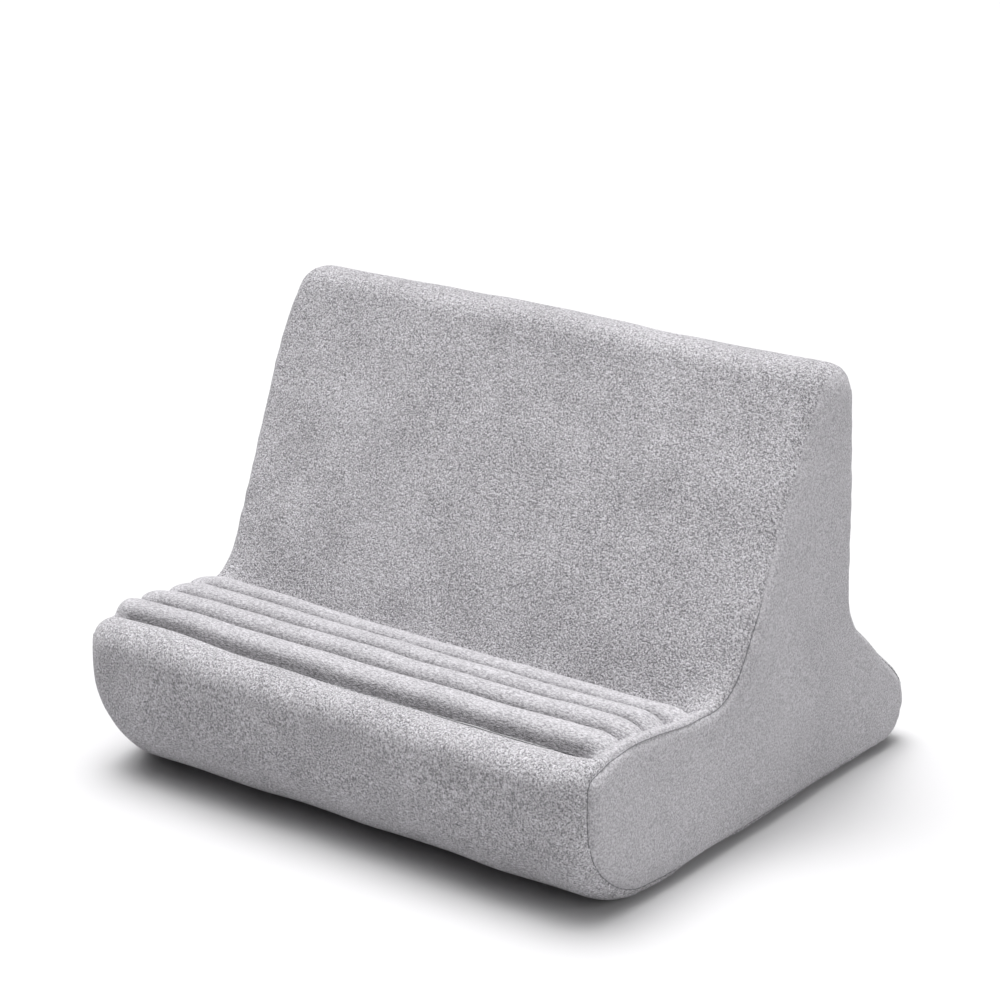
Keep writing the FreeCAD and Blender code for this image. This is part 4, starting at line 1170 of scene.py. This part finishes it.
# ----- Floor, light and camera -----
def make_floor():
    """A plain pale floor, large enough to fill the view."""
    paint = Paint("pale_floor", (0.62, 0.62, 0.625), 0.75)
    tones = [(0.3, (0.615, 0.615, 0.62)), (0.7, (0.625, 0.625, 0.63))]
    look = paint.ramp(paint.noise(220.0, 2.0), tones)
    mesh = bpy.data.meshes.new("floor")
    corners = [(-1, -1), (1, -1), (1, 1), (-1, 1)]
    mesh.from_pydata([(FLOOR_HALF * x, FLOOR_HALF * y, 0) for x, y in corners], [], [(0, 1, 2, 3)])
    mesh.materials.append(paint.finished(look, paint.noise(1.2, 2.0), 0.7, 0.8))
    floor = bpy.data.objects.new("floor", mesh)
    bpy.context.scene.collection.objects.link(floor)


def make_light():
    """A broad softbox overhead, slightly behind and to the left, and a weak one at the right."""
    world = bpy.data.worlds.new("studio")
    bpy.context.scene.world = world
    world.use_nodes = True
    nodes, links = world.node_tree.nodes, world.node_tree.links
    heading = nodes.new("ShaderNodeTexCoord")
    toward = nodes.new("ShaderNodeVectorMath")
    toward.operation = "DOT_PRODUCT"
    toward.inputs[1].default_value = KEY_FROM
    links.new(heading.outputs["Generated"], toward.inputs[0])
    bright = toward.outputs["Value"]
    falloff = [("MAXIMUM", 0.0), ("POWER", KEY_SPREAD), ("MULTIPLY", KEY_LIGHT), ("ADD", SKY_LIGHT)]
    for operation, value in falloff:
        node = nodes.new("ShaderNodeMath")
        node.operation = operation
        links.new(bright, node.inputs[0])
        node.inputs[1].default_value = value
        bright = node.outputs[0]
    links.new(bright, nodes["Background"].inputs["Strength"])
    nodes["Background"].inputs["Color"].default_value = (1.0, 0.995, 1.0, 1)
    data = bpy.data.lights.new("side_softbox", "SUN")
    data.energy = SIDE_LIGHT
    data.angle = SIDE_SPREAD
    lamp = bpy.data.objects.new("side_softbox", data)
    lamp.rotation_mode = "QUATERNION"
    lamp.rotation_quaternion = SIDE_FROM.to_track_quat("Z", "Y")
    lamp.location = SIDE_FROM * 2.0
    bpy.context.scene.collection.objects.link(lamp)


def make_camera():
    """The photo's camera, solved from the corners of the tablet's display."""
    data = bpy.data.cameras.new("camera")
    data.lens = CAMERA_LENS
    data.sensor_width = 36.0
    data.clip_start, data.clip_end = 0.05, 20.0
    camera = bpy.data.objects.new("camera", data)
    right = CAMERA_AHEAD.cross(CAMERA_UP).normalized()
    up = right.cross(CAMERA_AHEAD).normalized()
    turn = Matrix((right, up, -CAMERA_AHEAD)).transposed()
    camera.matrix_world = Matrix.Translation(CAMERA_AT) @ turn.to_4x4()
    bpy.context.scene.collection.objects.link(camera)
    bpy.context.scene.camera = camera


# ----- Putting it together -----
def carried_over(material, *nodes):
    """Gives CAD pieces whose shape is right a finished material."""
    for node in nodes:
        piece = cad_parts[node]
        for place in piece.material_slots:
            place.material = material


make_camera()
make_floor()
make_light()

PLUSH = 0.43
# Painted shade in the grain: strong on faces the light rakes across, weak on the side panels.
plush_plain = plush("plush", PLUSH, mottle_and_shade=1.2)
plush_side = plush("plush_side", PLUSH, mottle_and_shade=0.65, nap=0.6)
# The ledge's plush carries painted shade between its ribs.
plush_ledge = plush("plush_ledge", PLUSH, mottle_and_shade=0.75, nap=0.8, grain=(0.6, 1.0, 1.0), shaded_ribs=True)

foam_block(foam("foam", (0.72, 0.66, 0.42)))
rib_foam = foam("rib_foam", (0.80, 0.80, 0.78))
for count, centre in enumerate(RIB_CENTRES, start=1):
    rib_roll(count, centre, rib_foam)
ledge_lining(woven("lining", (0.70, 0.70, 0.71), 0.7))

section_panel("nose_cover", AT_GROOVE, AT_BASE, "nose_panel", plush_plain)
section_panel("ledge_cover", AT_CREASE, AT_GROOVE, "ledge_panel", plush_ledge, depth=0.6)
section_panel("backrest_cover", AT_TOP_SEAM, AT_CREASE, "backrest_panel", plush_plain)
section_panel("rear_upper_cover", AT_ZIP, AT_TOP_SEAM, "rear_upper_panel", plush_plain, windowed=1.0)
section_panel("rear_lower_cover", AT_FOOT, AT_ZIP, "rear_lower_panel", plush_plain, windowed=-1.0)
section_panel("base_cover", AT_BASE, AT_FOOT, "base_panel", plush_plain)
for end, side in (("left", -1), ("right", 1)):
    side_panel(f"side_cover_{end}", side, f"side_panel_{end}", plush_side)
grey_thread = thread("thread", (0.20, 0.20, 0.21))
for end, side in (("left", -1), ("right", 1)):
    side_seam(f"seam_thread_{end}", side, f"side_seam_{end}", grey_thread)
channel_stitches(grey_thread)

tape = twill("zip_tape", (0.46, 0.46, 0.48))
for half, way in (("upper", 1), ("lower", -1)):
    zip_tape(f"zip_band_{half}", f"zip_tape_{half}", way, tape)
coil = nylon("zip_coil", (0.40, 0.40, 0.42))
for half, way in (("upper", 1), ("lower", -1)):
    zip_coil(f"zip_spiral_{half}", f"zip_coil_{half}", way, coil)
zip_stitches(grey_thread)
care_label(ribbon("label", (0.60, 0.60, 0.59)))
carried_over(satin_metal("zip_metal", (0.62, 0.62, 0.64)),
             "zip_slider", "zip_pull", "zip_top_stops", "zip_bottom_stop")

bpy.context.scene.view_settings.view_transform = "Standard"
